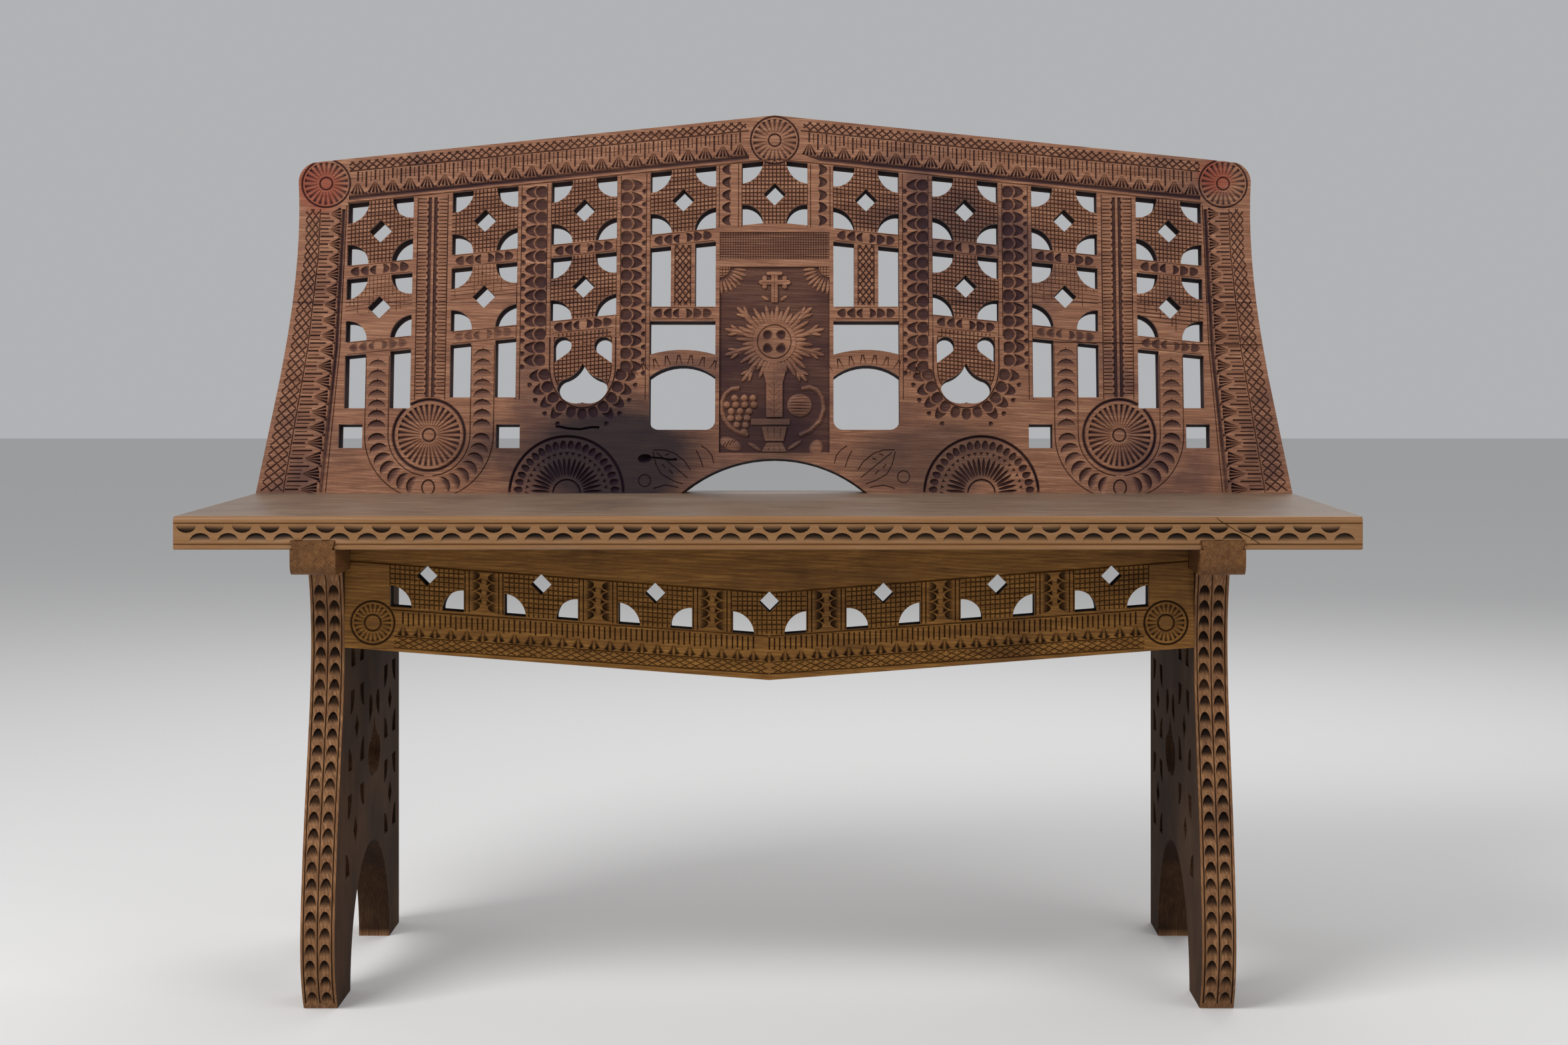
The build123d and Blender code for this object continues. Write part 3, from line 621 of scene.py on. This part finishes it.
for s in (-1, 1):
    crest = lambda t, d, s=s: (s * t, crestLine(t) - d)
    latticeRow(backFace, crest, 30, 443, 3.6, 12.8, 8.4, 11.5, 1.9, 1.5)
    tongueRow(backFace, crest, 36, 434, 18.2, topBorder)
    for d, width, depth in ((13.6, 1.7, 1.3), (21.5, 0.8, 0.6), (41.4, 6.6, 2.4)):
        vCut("borders", backFace, crest(27, d), crest(443, d), width, depth)
    vCut("borders", backFace, crest(2, 46.6), crest(444, 46.6), 1.6, 1.4)

    def flank(t, d, s=s):
        far = between(t, back["outer"])
        return (s * (far + (between(t, back["inner"]) - far) * d), t)

    latticeRow(backFace, flank, 2, 296, 0.06, 0.36, 9.4, 18, 1.9, 1.5)
    tongueRow(backFace, flank, 4, 291, 16.2, sideBorder)
    lineCut("borders", backFace, [flank(t, 0.385) for t in (1, 150, 250, 296)], 1.6, 1.3)
    lineCut("borders", backFace, [flank(t, 0.935) for t in (1, 150, 296)], 5.2, 2.3)
    lineCut("fillets", backFace, [flank(t, 1.0) for t in (1, 150, 300)], 1.4, 1.3)

    wheel(backFace, (s * 467, 323), cornerWheel)
    wheel(backFace, (s * back["hub"][0], back["hub"][1]), backWheel)
wheel(backFace, (0, 369), cornerWheel)

for s in (-1, 1):
    # bands of scales on both sides of the second column, rims away from it
    for base, way in ((164, -1), (232, 1)):
        turn = -s * way * pi / 2
        high = latticeLine(base) - 10
        for i in range(int((high - scales["last"]) / scales["pitch"]) + 1):
            v = high - i * scales["pitch"]
            moons = "moons" if i % 2 else "halfMoons"
            dish("chips", backFace, (s * (base + way * 9.9), v), 6.4, 7.2, turn, 2.7, 0.0, 0.7)
            dish(moons, backFace, (s * (base + way * 22.7), v), 6.5, 4.6, turn, 2.6, 7.5)
            dish("teeth", backFace, (s * (base + way * 28.4), v - 6.8), 2.9, 2.6, turn, 2.0, -1.2)
        for d, foot in ((0, 163), (4.4, 163), (30.9, 97), (35, 97)):
            u = s * (base + way * d)
            vCut("fillets", backFace, (u, latticeLine(u) - 1), (u, foot), 1.2, 1.1)
        for i in range(22):     # drying checks across the plain bands
            v = high + 8 - i * 9 + hand.uniform(-2.5, 2.5)
            near, far = ((0.5, 3.9), (31.4, 34.6))[i % 2]
            vCut("checks", backFace, (s * (base + way * near), v), (s * (base + way * far), v), 0.6, 0.7)
    # wide strip: slit tongues with scalloped ends on both sides of a ridge
    strip = back["hub"][0]
    for i in range(60):
        v = latticeLine(355) - 5 - i * 3.7
        if v < 101:
            break
        for way in (-1, 1):
            near, far = strip + way * (7.2 if i % 2 else 6.4), strip + way * 14.8
            vCut("slits", backFace, (s * near, v), (s * far, v + hand.uniform(-0.4, 0.4)), 1.5, 1.1, 1.5)
            if i % 2:
                chip("teeth", backFace, (s * (strip + way * 5.2), v), 2.4, 2.2, -s * way * pi / 2, 1.9)
    for u in (339.7, 370.8):
        vCut("fillets", backFace, (s * u, latticeLine(u) - 2), (s * u, 97), 1.3, 1.3)
    # inner strip
    for i in range(5):
        dish("chips", backFace, (s * 51, 338 - i * 13.4), 6.0, 4.0, -s * pi / 2, 2.8, 5.0)
    for u in (34, 37.5, 57.6, 61):
        vCut("fillets", backFace, (s * u, latticeLine(u) - 1), (s * u, 277), 1.2, 1.1)

    # crescents down the posts and round the wheel as one band
    hub = (s * strip, back["hub"][1])
    for c in (columnAt["third"], columnAt["outer"]):
        first = latticeLine(c) - 2 * back["rowPitch"] - 4
        way = 1 if c > strip else -1
        for i in range(8):
            v = first - 12 - i * 10.4
            if v > 62:
                scoop("chips", backFace, (s * c, v), 9.4, 8.4, 0, 1.6 + 0.16 * i, 0.15)
                vCut("slits", backFace, (s * c, v + 7.6), (s * c, v + 10.8), 1.3, 1.4, 0.4)
        for i in range(7):
            a = radians(-6 - i * 11.4)
            turn = (pi / 2 + a) * s * way - pi / 2 * s * way
            scoop("chips", backFace, onRing(hub, a, s * way * 54, 54), 9.4, 8.2, turn, 2.8, 0.15)
        for edge in (-12, 12):
            r = 54.2 + way * edge
            line = [(s * (c + edge), first), (s * (c + edge), 100)] + arcPoints(hub, s * way * r, r, 0, -84, 14)
            lineCut("borders", backFace, line, 1.5, 1.3)
    ringCut("rings", backFace, (hub[0], 6), 6.4, 2.0, 1.8, 24, 1.2)
    # post of the inner column
    post = lambda t, d, s=s: (s * (columnAt["inner"] - 11 + d), 195 + t)
    latticeRow(backFace, post, 0.5, 63, 3.2, 18.8, 7.9, 20, 1.9, 1.6)
    for d in (2.8, 19.2):
        vCut("borders", backFace, post(0, d), post(63.5, d), 1.4, 1.3)

    # half rosette at the foot: petals, teeth and a rim of scales
    rose = Vector((s * 213, 0))
    lineCut("borders", backFace, arcPoints(rose, 58.5, 58.5, 1, 179, 32), 3.6, 3.0)
    lineCut("borders", backFace, arcPoints(rose, 14, 14, 3, 177, 14), 2.4, 2.0)
    for i in range(20):
        a = pi * (i + 0.5) / 20
        dish("chips", backFace, rose + toward(a) * 50, 3.5, 4.8, a - pi / 2, 2.6, 1.0)
        dish("chips", backFace, rose + toward(a) * 27, 1.75, 10, a - pi / 2, 2.4)
        a += pi / 40
        chip("teeth", backFace, rose + toward(a) * 41, 2.9, 3.0, a + pi / 2, 2.0)

    # second column: rounded frame under the hatch, the scales go round it
    middle = Vector((s * columnAt["second"], bowl["middle"]))
    for rx, ry, width in ((29.5, 37.5, 1.4), (34, 43, 2.0)):
        near, far = middle[0] - rx, middle[0] + rx
        curve = arcPoints(middle, rx, ry, 180, 360, 24)
        lineCut("fillets", backFace, [(near, 162), (near, 146)] + curve + [(far, 146), (far, 162)], width, 1.6)

    # point on the frame's rim, the way out of it, and the turn of a mark there
    def onBowl(a):
        wide, tall = bowl["rim"]
        out = Vector((cos(a) / wide, sin(a) / tall)).normalized()
        return middle + Vector((wide * cos(a), tall * sin(a))), out, atan2(out.y, out.x) - pi / 2

    for i in range(11):
        a = radians(190 + i * bowl["step"])
        rim, out, turn = onBowl(a)
        step = radians(bowl["step"]) * Vector((39.5 * sin(a), 48.5 * cos(a))).length
        dish("bowl" if i % 2 else "bowlToo", backFace, rim + out * 5.6, 0.47 * step, 7.0, turn, 2.7, 0.0, 0.7)
        if abs(i - 5) > 1:
            dish("moons" if i % 2 else "halfMoons", backFace, rim + out * 17.8, 0.5 * step, 4.2, turn, 2.5, 6.4)
        rim, out, turn = onBowl(a + radians(8))
        if i < 10 and abs(i - 4.5) > 1:
            dish("bowl", backFace, rim + out * 22.6, 2.7, 2.5, turn, 1.9, -1.2)
    # slits over the door, leaning by turns
    door = (s * columnAt["inner"], 43)
    for i in range(19):
        a = radians(57 + i * 3.7)
        tilt = a + radians(1.5 if i % 2 else -1.5)
        layer = "slits" if i % 2 else "level"
        vCut(layer, backFace, onRing(door, a, 90.6), onRing(door, tilt, 100.5), 2.0, 0.7, 1.6)
    # engraved leaf beside the foot arch
    for line in (((86, 24), (92, 33), (102, 41), (112, 44.5), (124, 44.8)),
                 ((94, 9.6), (104, 13), (116, 20), (121.5, 30), (124.6, 43)),
                 ((89, 16), (100, 25), (111, 34), (121, 42)), ((62, 31), (64, 39), (69, 45), (75, 49)),
                 ((73, 27), (76, 36), (80, 44)), ((101, 36), (105, 35)), ((108, 41), (112, 39)),
                 ((104, 20), (108, 24)), ((112, 26), (115, 30)), ((98, 6), (112, 8.5), (124, 5))):
        lineCut("fillets", backFace, [(s * u, v) for u, v in line], 1.5, 1.2)
    ringCut("rings", backFace, (s * 133, 15 + 2 * s), 6.2, 1.6, 1.2, 20)
# knot and two splits low on the left, and a long check in the right half below the joint
dish("bowl", backFace, (-133, 36), 7.5, 4.6, 0.1, 7)
for line, width, depth in (
        (((-126, 37), (-117, 36.4), (-108, 34.6), (-100, 34.8)), 2.4, 3.2),
        (((-225, 69.5), (-212, 66.8), (-200, 66), (-188, 68.2), (-180, 68)), 3.0, 4.0),
        (((248, 158), (300, 156.5), (352, 155.8), (420, 154.2), (470, 153.6), (503, 153.5)), 0.9, 2.4)):
    lineCut("checks", backFace, line, width, depth)

toBack = backFace.inverted()


def onCrest(co):
    u, v, h = toBack @ co
    return v > crestLine(u) - 14


def inBack(co):
    u, v, h = toBack @ co
    return v > 4 and v < crestLine(u) - 20 and abs(u) < between(v, back["inner"]) + 12


backBoards = ("back_lower_board", "back_upper_board")
backTiles = ((0, -0.5013, 0.52), (2, 0.4727, 0.84))
backSeam = (backFace @ Vector((0, back["joint"], 0)), backUp)
carve(*[blank(name, 0.9, backTiles, backSeam, onCrest) for name in backBoards])

apron = {
    "setback": 76, "line": 374.5, "slope": 0.0765, "half": 33.8, "pitch": 105.333, "height": 39.5, "hatchPitch": 4.6,
}
apronBorder = {
    "scale": 1, "top": 1.2, "slitEnd": 15, "gap": 12.5, "tip": 23, "deep": 2.5, "slit": 2.0,
    "wedges": (-0.5, 0.5), "slits": ((0.33, 1, 0.9), (0.67, 0, 0.9)), "pitch": 14.7,
}
apronWheel = {
    "rim": 20, "rimWidth": 2.6, "rimDepth": 1.8, "boss": 6, "spokes": 22, "near": 9.2, "far": 17, "deep": 1.7,
}
apronFace = carvingFace((0, seatFront + apron["setback"] * mm, 0), (1, 0, 0), (0, 0, 1))


def apronLine(x):
    return apron["line"] + apron["slope"] * abs(x)


for k in range(-3, 4):
    c = k * apron["pitch"]
    rise = apron["slope"] * (0 if k == 0 else (1 if k > 0 else -1))
    topOf = lambda x, c=c, rise=rise: apronLine(c) + rise * (x - c) + (1.2 if rise == 0 else 0)
    hatch(apronFace, c - apron["half"], c + apron["half"], topOf, apron["height"], apron["hatchPitch"], 1.5, 1.2)
for k in (-2.5, -1.5, -0.5, 0.5, 1.5, 2.5):
    c = k * apron["pitch"]
    high = apronLine(c)
    for x in (c - 17.5, c - 13.6, c + 13.6, c + 17.5):
        vCut("fillets", apronFace, (x, apronLine(x) - 1), (x, apronLine(x) - apron["height"] + 0.5), 1.6, 1.4)
    for i in range(4):
        for side in (-1, 1):
            v = high - 5.2 - i * 9.4 + side * 12 * apron["slope"] * (1 if k > 0 else -1)
            scoop("chips", apronFace, (c + side * 12.2, v), 4.4, 8.6, side * pi / 2, 2.9, 0.0)
            if i < 3:
                chip("teeth", apronFace, (c + side * 3.9, v - 4.7), 3.7, 4.4, -side * pi / 2, 2.3)
for s in (-1, 1):
    under = lambda t, d, s=s: (s * t, 334.6 + 0.07 * t - d)
    begin = 0 if s > 0 else apronBorder["pitch"]     # the middle tongue is cut once
    tongueRow(apronFace, under, begin, 338.1, apronBorder["pitch"], apronBorder)
    latticeRow(apronFace, under, 2, 346, 25.4, 34.4, 10, 18, 1.3, 1.1)
    for d, end in ((0, 350), (24.4, 346), (35, 346)):
        vCut("borders", apronFace, under(0.6, d), under(end, d), 1.5, 1.3)
    vCut("borders", apronFace, (s * 0.6, apronLine(0)), (s * 388, apronLine(388)), 2.2, 1.8)
    vCut("fillets", apronFace, (s * 350, apronLine(350) - 1), (s * 350, 362), 1.4, 1.2)
    wheel(apronFace, (s * 366, 347), apronWheel)
carve(blank("apron", 0.8))


def inApron(co):
    return co.z * 1000 > 333 + 70 * abs(co.x) and co.z * 1000 < apronLine(1000 * co.x) + 3


seatEdge = {"pitch": 25, "upper": 441.5, "lower": 427.6, "reach": 521, "last": 528}
seatFace = carvingFace((0, seatFront, 0), (1, 0, 0), (0, 0, 1))
for i in range(int(2 * seatEdge["reach"] / seatEdge["pitch"]) + 1):
    x = -seatEdge["reach"] + i * seatEdge["pitch"]
    scoop("chips", seatFace, (x, seatEdge["upper"]), 8.8, 6.4, pi, 2.8, 0.05)
    x += seatEdge["pitch"] / 2
    if x < seatEdge["last"]:
        scoop("chips", seatFace, (x, seatEdge["lower"]), 9.4, 7.6, 0, 3.0, 0.05)
for z, width in ((443.6, 1.8), (424.6, 2.4)):
    vCut("borders", seatFace, (-540, z), (540, z), width, 1.6)
lineCut("checks", seatFace, [(398, 452), (405, 446), (418, 438), (432, 431), (441, 425)], 0.8, 2.0)
carve(blank("seat_board", 1.2))

legEdge = {
    "middle": {"left_leg": -407.5, "right_leg": 407.5}, "pitch": 14.6, "first": 6, "last": 378, "column": 6.6,
    "wide": 5.2, "long": 12.2, "deep": 3.2, "grooves": (-12.8, 0, 12.8), "grooveWidth": 0.8, "grooveDepth": 1.3,
}


def frontOf(surface, x, z):
    return surface.ray_cast(Vector((x, -1, z)), Vector((0, 1, 0)))[0]


# face on a leg's curved front edge at a height
def edgeFace(surface, x, z):
    hit, above, below = [frontOf(surface, x * mm, h * mm) for h in (z, z + 4, z - 4)]
    return carvingFace(hit, (1, 0, 0), (above - below).normalized())


r = (legEdge["grooveDepth"] + lift) / profileTall
profile = Matrix(((legEdge["grooveWidth"], 0, 0, 0), (0, 0, 1, 0), (0, -1, 0, lift - r / 2), (0, 0, 0, 1)))
for legName, middle in legEdge["middle"].items():
    leg = blank(legName, 1.0)
    surface = bareBoards[leg.name]
    z = legEdge["first"]
    while z < legEdge["last"]:
        for column in (-1, 1):
            place = edgeFace(surface, middle + column * legEdge["column"], z)
            scoop("chips", place, (0, 0), legEdge["wide"], legEdge["long"], 0, legEdge["deep"], 0.0)
        z += legEdge["pitch"]
    for x in legEdge["grooves"]:
        sweep("grooves", [edgeFace(surface, middle + x, 5 + i * 12.9) @ profile for i in range(31)], r)
    carve(leg)
print("all boards carved")


# away from a leg's front and rear edges
def legInside(piece, low, high):
    surface, middle = bareBoards[piece.name], (low.x + high.x) / 2
    floor, top, margin = 0.003, 0.38, 0.012

    def inLeg(co):
        front = frontOf(surface, middle, min(max(co.z, floor), top)).y
        return co.z > floor and front + margin < co.y < high.y - margin

    return inLeg


# waxed wood: grain along one axis, stained in patches, dark in the cuts with grime and painted shade, and with
# painted shade on the leg sides and piercing walls
def waxedWood(name, look):
    wood = bpy.data.materials.new(name)
    wood.use_nodes = True
    tree = wood.node_tree
    tree.nodes.clear()
    link = tree.links.new

    def node(kind, **values):
        n = tree.nodes.new(kind)
        for key, value in values.items():
            if key in n.inputs.keys():
                n.inputs[key].default_value = value
            else:
                setattr(n, key, value)
        return n

    # plain values are set on a socket, outputs of other nodes are linked to it
    def feed(n, key, value):
        if isinstance(value, (tuple, float)):
            n.inputs[key].default_value = value
        else:
            link(value, n.inputs[key])

    def ramp(fac, stops):
        n = node("ShaderNodeValToRGB")
        for i, (at, colour) in enumerate(stops):
            e = n.color_ramp.elements[i] if i < 2 else n.color_ramp.elements.new(at)
            e.position, e.color = at, (*linear(colour), 1)
        link(fac, n.inputs["Fac"])
        return n.outputs["Color"]

    def span(value, low, high, toLow=0.0, toHigh=1.0):
        n = node("ShaderNodeMapRange", clamp=True, interpolation_type='SMOOTHSTEP')
        link(value, n.inputs["Value"])
        for key, v in zip(("From Min", "From Max", "To Min", "To Max"), (low, high, toLow, toHigh)):
            n.inputs[key].default_value = v
        return n.outputs["Result"]

    def mix(fac, colour, tint):
        n = node("ShaderNodeMix", data_type='RGBA')
        for key, value in ((0, fac), (6, colour), (7, (*linear(tint), 1))):
            feed(n, key, value)
        return n.outputs[2]

    def maths(kind, a, b):
        n = node("ShaderNodeMath", operation=kind)
        feed(n, 0, a)
        feed(n, 1, b)
        return n.outputs[0]

    def vectorMath(kind, a, b=(0.0, 0.0, 0.0)):
        n = node("ShaderNodeVectorMath", operation=kind)
        feed(n, 0, a)
        feed(n, 1, b)
        return n.outputs["Value" if kind in ('LENGTH', 'DOT_PRODUCT') else "Vector"]

    def noise(vector, **values):
        n = node("ShaderNodeTexNoise", **values)
        link(vector, n.inputs["Vector"])
        return n.outputs["Fac"]

    def attribute(key):
        return node("ShaderNodeAttribute", attribute_name=key, attribute_type='GEOMETRY').outputs["Fac"]

    plus, times, most = partial(maths, 'ADD'), partial(maths, 'MULTIPLY'), partial(maths, 'MAXIMUM')

    place = node("ShaderNodeTexCoord").outputs["Object"]
    grain = node("ShaderNodeMapping")
    grain.inputs["Scale"].default_value = look["grain"]
    link(place, grain.inputs["Vector"])
    along = grain.outputs["Vector"]

    streaks = noise(along, Scale=5.0, Detail=6.0, Roughness=0.62, Distortion=0.6)
    wave = node("ShaderNodeTexWave", wave_type='BANDS', bands_direction='DIAGONAL',
                Scale=3.2, Distortion=5.0, Detail=3.0)
    wave.inputs["Detail Scale"].default_value = 0.8
    link(along, wave.inputs["Vector"])
    pores = noise(along, Scale=34.0, Detail=3.0, Roughness=0.7)
    stains = noise(place, Scale=9.0, Detail=4.0, Roughness=0.6)

    tone = plus(times(streaks, 0.9), times(wave.outputs["Fac"], 0.1))
    colour = ramp(tone, ((0.26, look["dark"]), (0.50, look["mid"]), (0.76, look["light"])))
    colour = mix(span(pores, 0.58, 0.68, 0.0, 0.6), colour, look["pore"])
    colour = mix(span(stains, 0.50, 0.72, 0.0, look["stained"]), colour, look["stain"])

    for at, reach, tint, strength in look.get("patches", ()):
        far = vectorMath('LENGTH', vectorMath('DIVIDE', vectorMath('SUBTRACT', place, at), reach))
        ragged = plus(far, times(maths('SUBTRACT', stains, 0.5), 1.1))
        colour = mix(span(ragged, 1.0, 0.45, 0.0, strength), colour, tint)

    roughness = span(streaks, 0.3, 0.75, look["gloss"], look["gloss"] + 0.16)
    dents = noise(place, Scale=70.0, Detail=2.0)
    height = plus(plus(times(streaks, 0.5), times(pores, -0.35)), times(dents, 0.6))

    # grime and painted shade in the cuts, darker the deeper the cut
    grimeAndShade = maths('POWER', span(attribute("cutDepth"), 0.00005, 0.0018), 0.7)
    # painted shade, with some grime, on the walls of the piercings below the carved face
    if "face" in look:      # walls of the piercings, below the carved face
        origin, normal = look["face"]
        level = maths('SUBTRACT', vectorMath('DOT_PRODUCT', place, normal), float(Vector(origin).dot(Vector(normal))))
        wallShadeAndGrime = times(span(level, -0.003, -0.007), span(level, look["rear"], look["rear"] + 0.003))
        # steep cut walls get more painted shade than the floors that face out
        steep = vectorMath('DOT_PRODUCT', node("ShaderNodeNewGeometry").outputs["Normal"], normal)
        grimeAndShade = times(grimeAndShade, span(steep, 0.62, 0.97, 1.0, 0.84))
        grimeAndShade = most(grimeAndShade, times(wallShadeAndGrime, attribute("inside")))
    if "sides" in look:     # leg sides darker than the front edges: painted shade with some grime on the sides that face under the seat, less on the outer sides
        facing, spot = node("ShaderNodeSeparateXYZ"), node("ShaderNodeSeparateXYZ")
        link(node("ShaderNodeNewGeometry").outputs["True Normal"], facing.inputs[0])
        link(place, spot.inputs[0])
        outward = times(facing.outputs["X"], spot.outputs["X"])
        grimeAndShade = most(grimeAndShade, span(outward, -0.25, -0.36, 0.0, look["sides"]))
        grimeAndShade = most(grimeAndShade, span(outward, 0.25, 0.36, 0.0, 0.35))
        # painted shade, with some grime, on the walls of the leg's piercings
        openingShadeAndGrime = span(maths('ABSOLUTE', facing.outputs["X"], 0.0), 0.7, 0.3, 0.0, 0.9)
        grimeAndShade = most(grimeAndShade, times(attribute("inside"), openingShadeAndGrime))
    # the grime and painted shade are mixed in, uneven with the stains
    patchy = times(grimeAndShade, span(stains, 0.25, 0.6, 0.80, 0.98))
    colour = mix(patchy, colour, look["grimeAndShade"])
    roughness = plus(roughness, times(grimeAndShade, 0.5))

    bump = node("ShaderNodeBump", Strength=0.25, Distance=0.0012)
    link(height, bump.inputs["Height"])
    shader = node("ShaderNodeBsdfPrincipled")
    shader.inputs["Coat Weight"].default_value = look.get("wax", 0.0)
    shader.inputs["Coat Roughness"].default_value = 0.35
    shader.inputs["Specular IOR Level"].default_value = 0.12
    link(colour, shader.inputs["Base Color"])
    link(roughness, shader.inputs["Roughness"])
    link(bump.outputs["Normal"], shader.inputs["Normal"])
    out = node("ShaderNodeOutputMaterial")
    link(shader.outputs[0], out.inputs["Surface"])
    return wood


def linear(colour):
    return tuple(c / 255 / 12.92 if c / 255 <= 0.04045 else ((c / 255 + 0.055) / 1.055) ** 2.4 for c in colour)


def onBack(u, v):
    return tuple(backFace @ Vector((u, v, 0)))


redPaint = (132, 52, 38)
backWood = waxedWood("back_waxed", {
    "grain": (4, 60, 60), "dark": (100, 66, 51), "mid": (136, 94, 72), "light": (174, 130, 102),
    "pore": (70, 48, 45), "stain": (78, 56, 54), "stained": 0.7, "gloss": 0.46, "grimeAndShade": (36, 23, 33),
    "face": (tuple(backOrigin), (0, -cos(lean), sin(lean))), "rear": -0.0305,
    "patches": [(onBack(-172, 38), (0.155, 0.07, 0.088), (33, 30, 37), 0.92),
                (onBack(150, 35), (0.10, 0.04, 0.05), (60, 48, 46), 0.6),
                (onBack(0, 60), (0.06, 0.04, 0.05), (58, 46, 44), 0.6),
                (onBack(-474, 320), (0.034, 0.02, 0.034), redPaint, 0.6),
                (onBack(458, 330), (0.026, 0.02, 0.026), redPaint, 0.6)],
})
apronWood = waxedWood("apron_waxed", {
    "grain": (4, 60, 60), "dark": (86, 56, 24), "mid": (122, 83, 39), "light": (160, 115, 58),
    "pore": (60, 36, 20), "stain": (74, 46, 24), "stained": 0.6, "gloss": 0.42, "grimeAndShade": (22, 13, 10),
    "face": ((0, seatFront + 0.076, 0), (0, -1, 0)), "rear": -0.0255,
})
seatWood = waxedWood("seat_waxed", {
    "grain": (3, 60, 60), "dark": (84, 67, 55), "mid": (126, 104, 87), "light": (168, 145, 124),
    "pore": (78, 60, 50), "stain": (96, 80, 72), "stained": 0.6, "gloss": 0.34, "grimeAndShade": (30, 20, 14),
    "patches": [((0, seatFront, 0.436), (3.0, 0.012, 0.03), (138, 97, 57), 0.8)], "wax": 0.15,
})
legWood = waxedWood("leg_waxed", {
    "grain": (60, 60, 4), "dark": (90, 60, 38), "mid": (124, 87, 57), "light": (164, 122, 86),
    "pore": (62, 40, 28), "stain": (78, 53, 40), "stained": 0.6, "gloss": 0.44, "grimeAndShade": (22, 14, 11),
    # strength of the painted shade, with some grime, on the inner leg sides
    "sides": 0.84,
})
joineryWood = waxedWood("joinery_waxed", {
    "grain": (60, 4, 60), "dark": (76, 49, 28), "mid": (104, 70, 41), "light": (130, 92, 56),
    "pore": (58, 37, 24), "stain": (70, 46, 30), "stained": 0.5, "gloss": 0.38, "grimeAndShade": (36, 24, 17),
})

# the sunk floors count as less deep, so that they get less grime and painted shade and stay lighter than the cuts in
# them
floors = [(backFace, -57.2, 57.2, 41.5, 236, 1.0), (backFace, -57.2, 57.2, 242.5, 272.5, 1.3)]
for name in backBoards:
    dress(carved[name], name, backWood, floors, inBack)
dress(carved["apron"], "apron", apronWood, (), inApron)
dress(carved["seat_board"], "seat_board", seatWood)
for name in legEdge["middle"]:
    low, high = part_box(name)
    dress(carved[name], name, legWood, (), legInside(carved[name], low, high))
for name, node in nodes.items():
    if name not in carved:
        node.data.materials.clear()
        node.data.materials.append(joineryWood)
print("wood finishes on")

# plain pale floor and soft light
bm = bmesh.new()
bmesh.ops.create_grid(bm, x_segments=1, y_segments=1, size=14)
floor = addMesh("floor", bm)
pale = bpy.data.materials.new("pale_floor")
pale.use_nodes = True
paleShader = pale.node_tree.nodes["Principled BSDF"]
paleShader.inputs["Base Color"].default_value = (0.72, 0.71, 0.70, 1)
paleShader.inputs["Roughness"].default_value = 0.9
floor.data.materials.append(pale)

sky = bpy.data.worlds.new("sky")
scene.world = sky
sky.use_nodes = True
daylight = sky.node_tree.nodes["Background"]
daylight.inputs["Color"].default_value = (0.95, 0.97, 1.0, 1)
daylight.inputs["Strength"].default_value = 0.46


def softLight(name, size, power, place, target):
    lamp = bpy.data.lights.new(name, 'AREA')
    lamp.shape = 'RECTANGLE'
    lamp.size, lamp.size_y = size
    lamp.energy = power
    holder = addObject(name, lamp)
    holder.location = place
    holder.rotation_euler = (Vector(target) - Vector(place)).to_track_quat('-Z', 'Y').to_euler()


softLight("key", (1.6, 1.2), 70, (-1.6, -1.6, 2.6), (0, 0, 0.5))
softLight("fill", (2.4, 1.6), 22, (2.2, -2.4, 1.6), (0, 0, 0.4))
softLight("rim", (2.0, 1.0), 30, (0.6, 2.2, 2.4), (0, 0, 0.6))

eye = {
    "place": (0.044, seatFront - 2.499, 0.611), "focal": 4188, "middle": (1226, 505), "wide": 2353, "tall": 1568,
    "sensor": 36,
}
camera = bpy.data.cameras.new("camera")
camera.sensor_fit = 'HORIZONTAL'
camera.sensor_width = eye["sensor"]
camera.lens = eye["sensor"] * eye["focal"] / eye["wide"]
camera.shift_x = (eye["wide"] / 2 - eye["middle"][0]) / eye["wide"]
camera.shift_y = (eye["middle"][1] - eye["tall"] / 2) / eye["wide"]
cameraHolder = addObject("camera", camera)
cameraHolder.location = eye["place"]
cameraHolder.rotation_euler = (radians(90), 0, 0)
scene.camera = cameraHolder
scene.view_settings.view_transform = 'Standard'

print("scene ready")
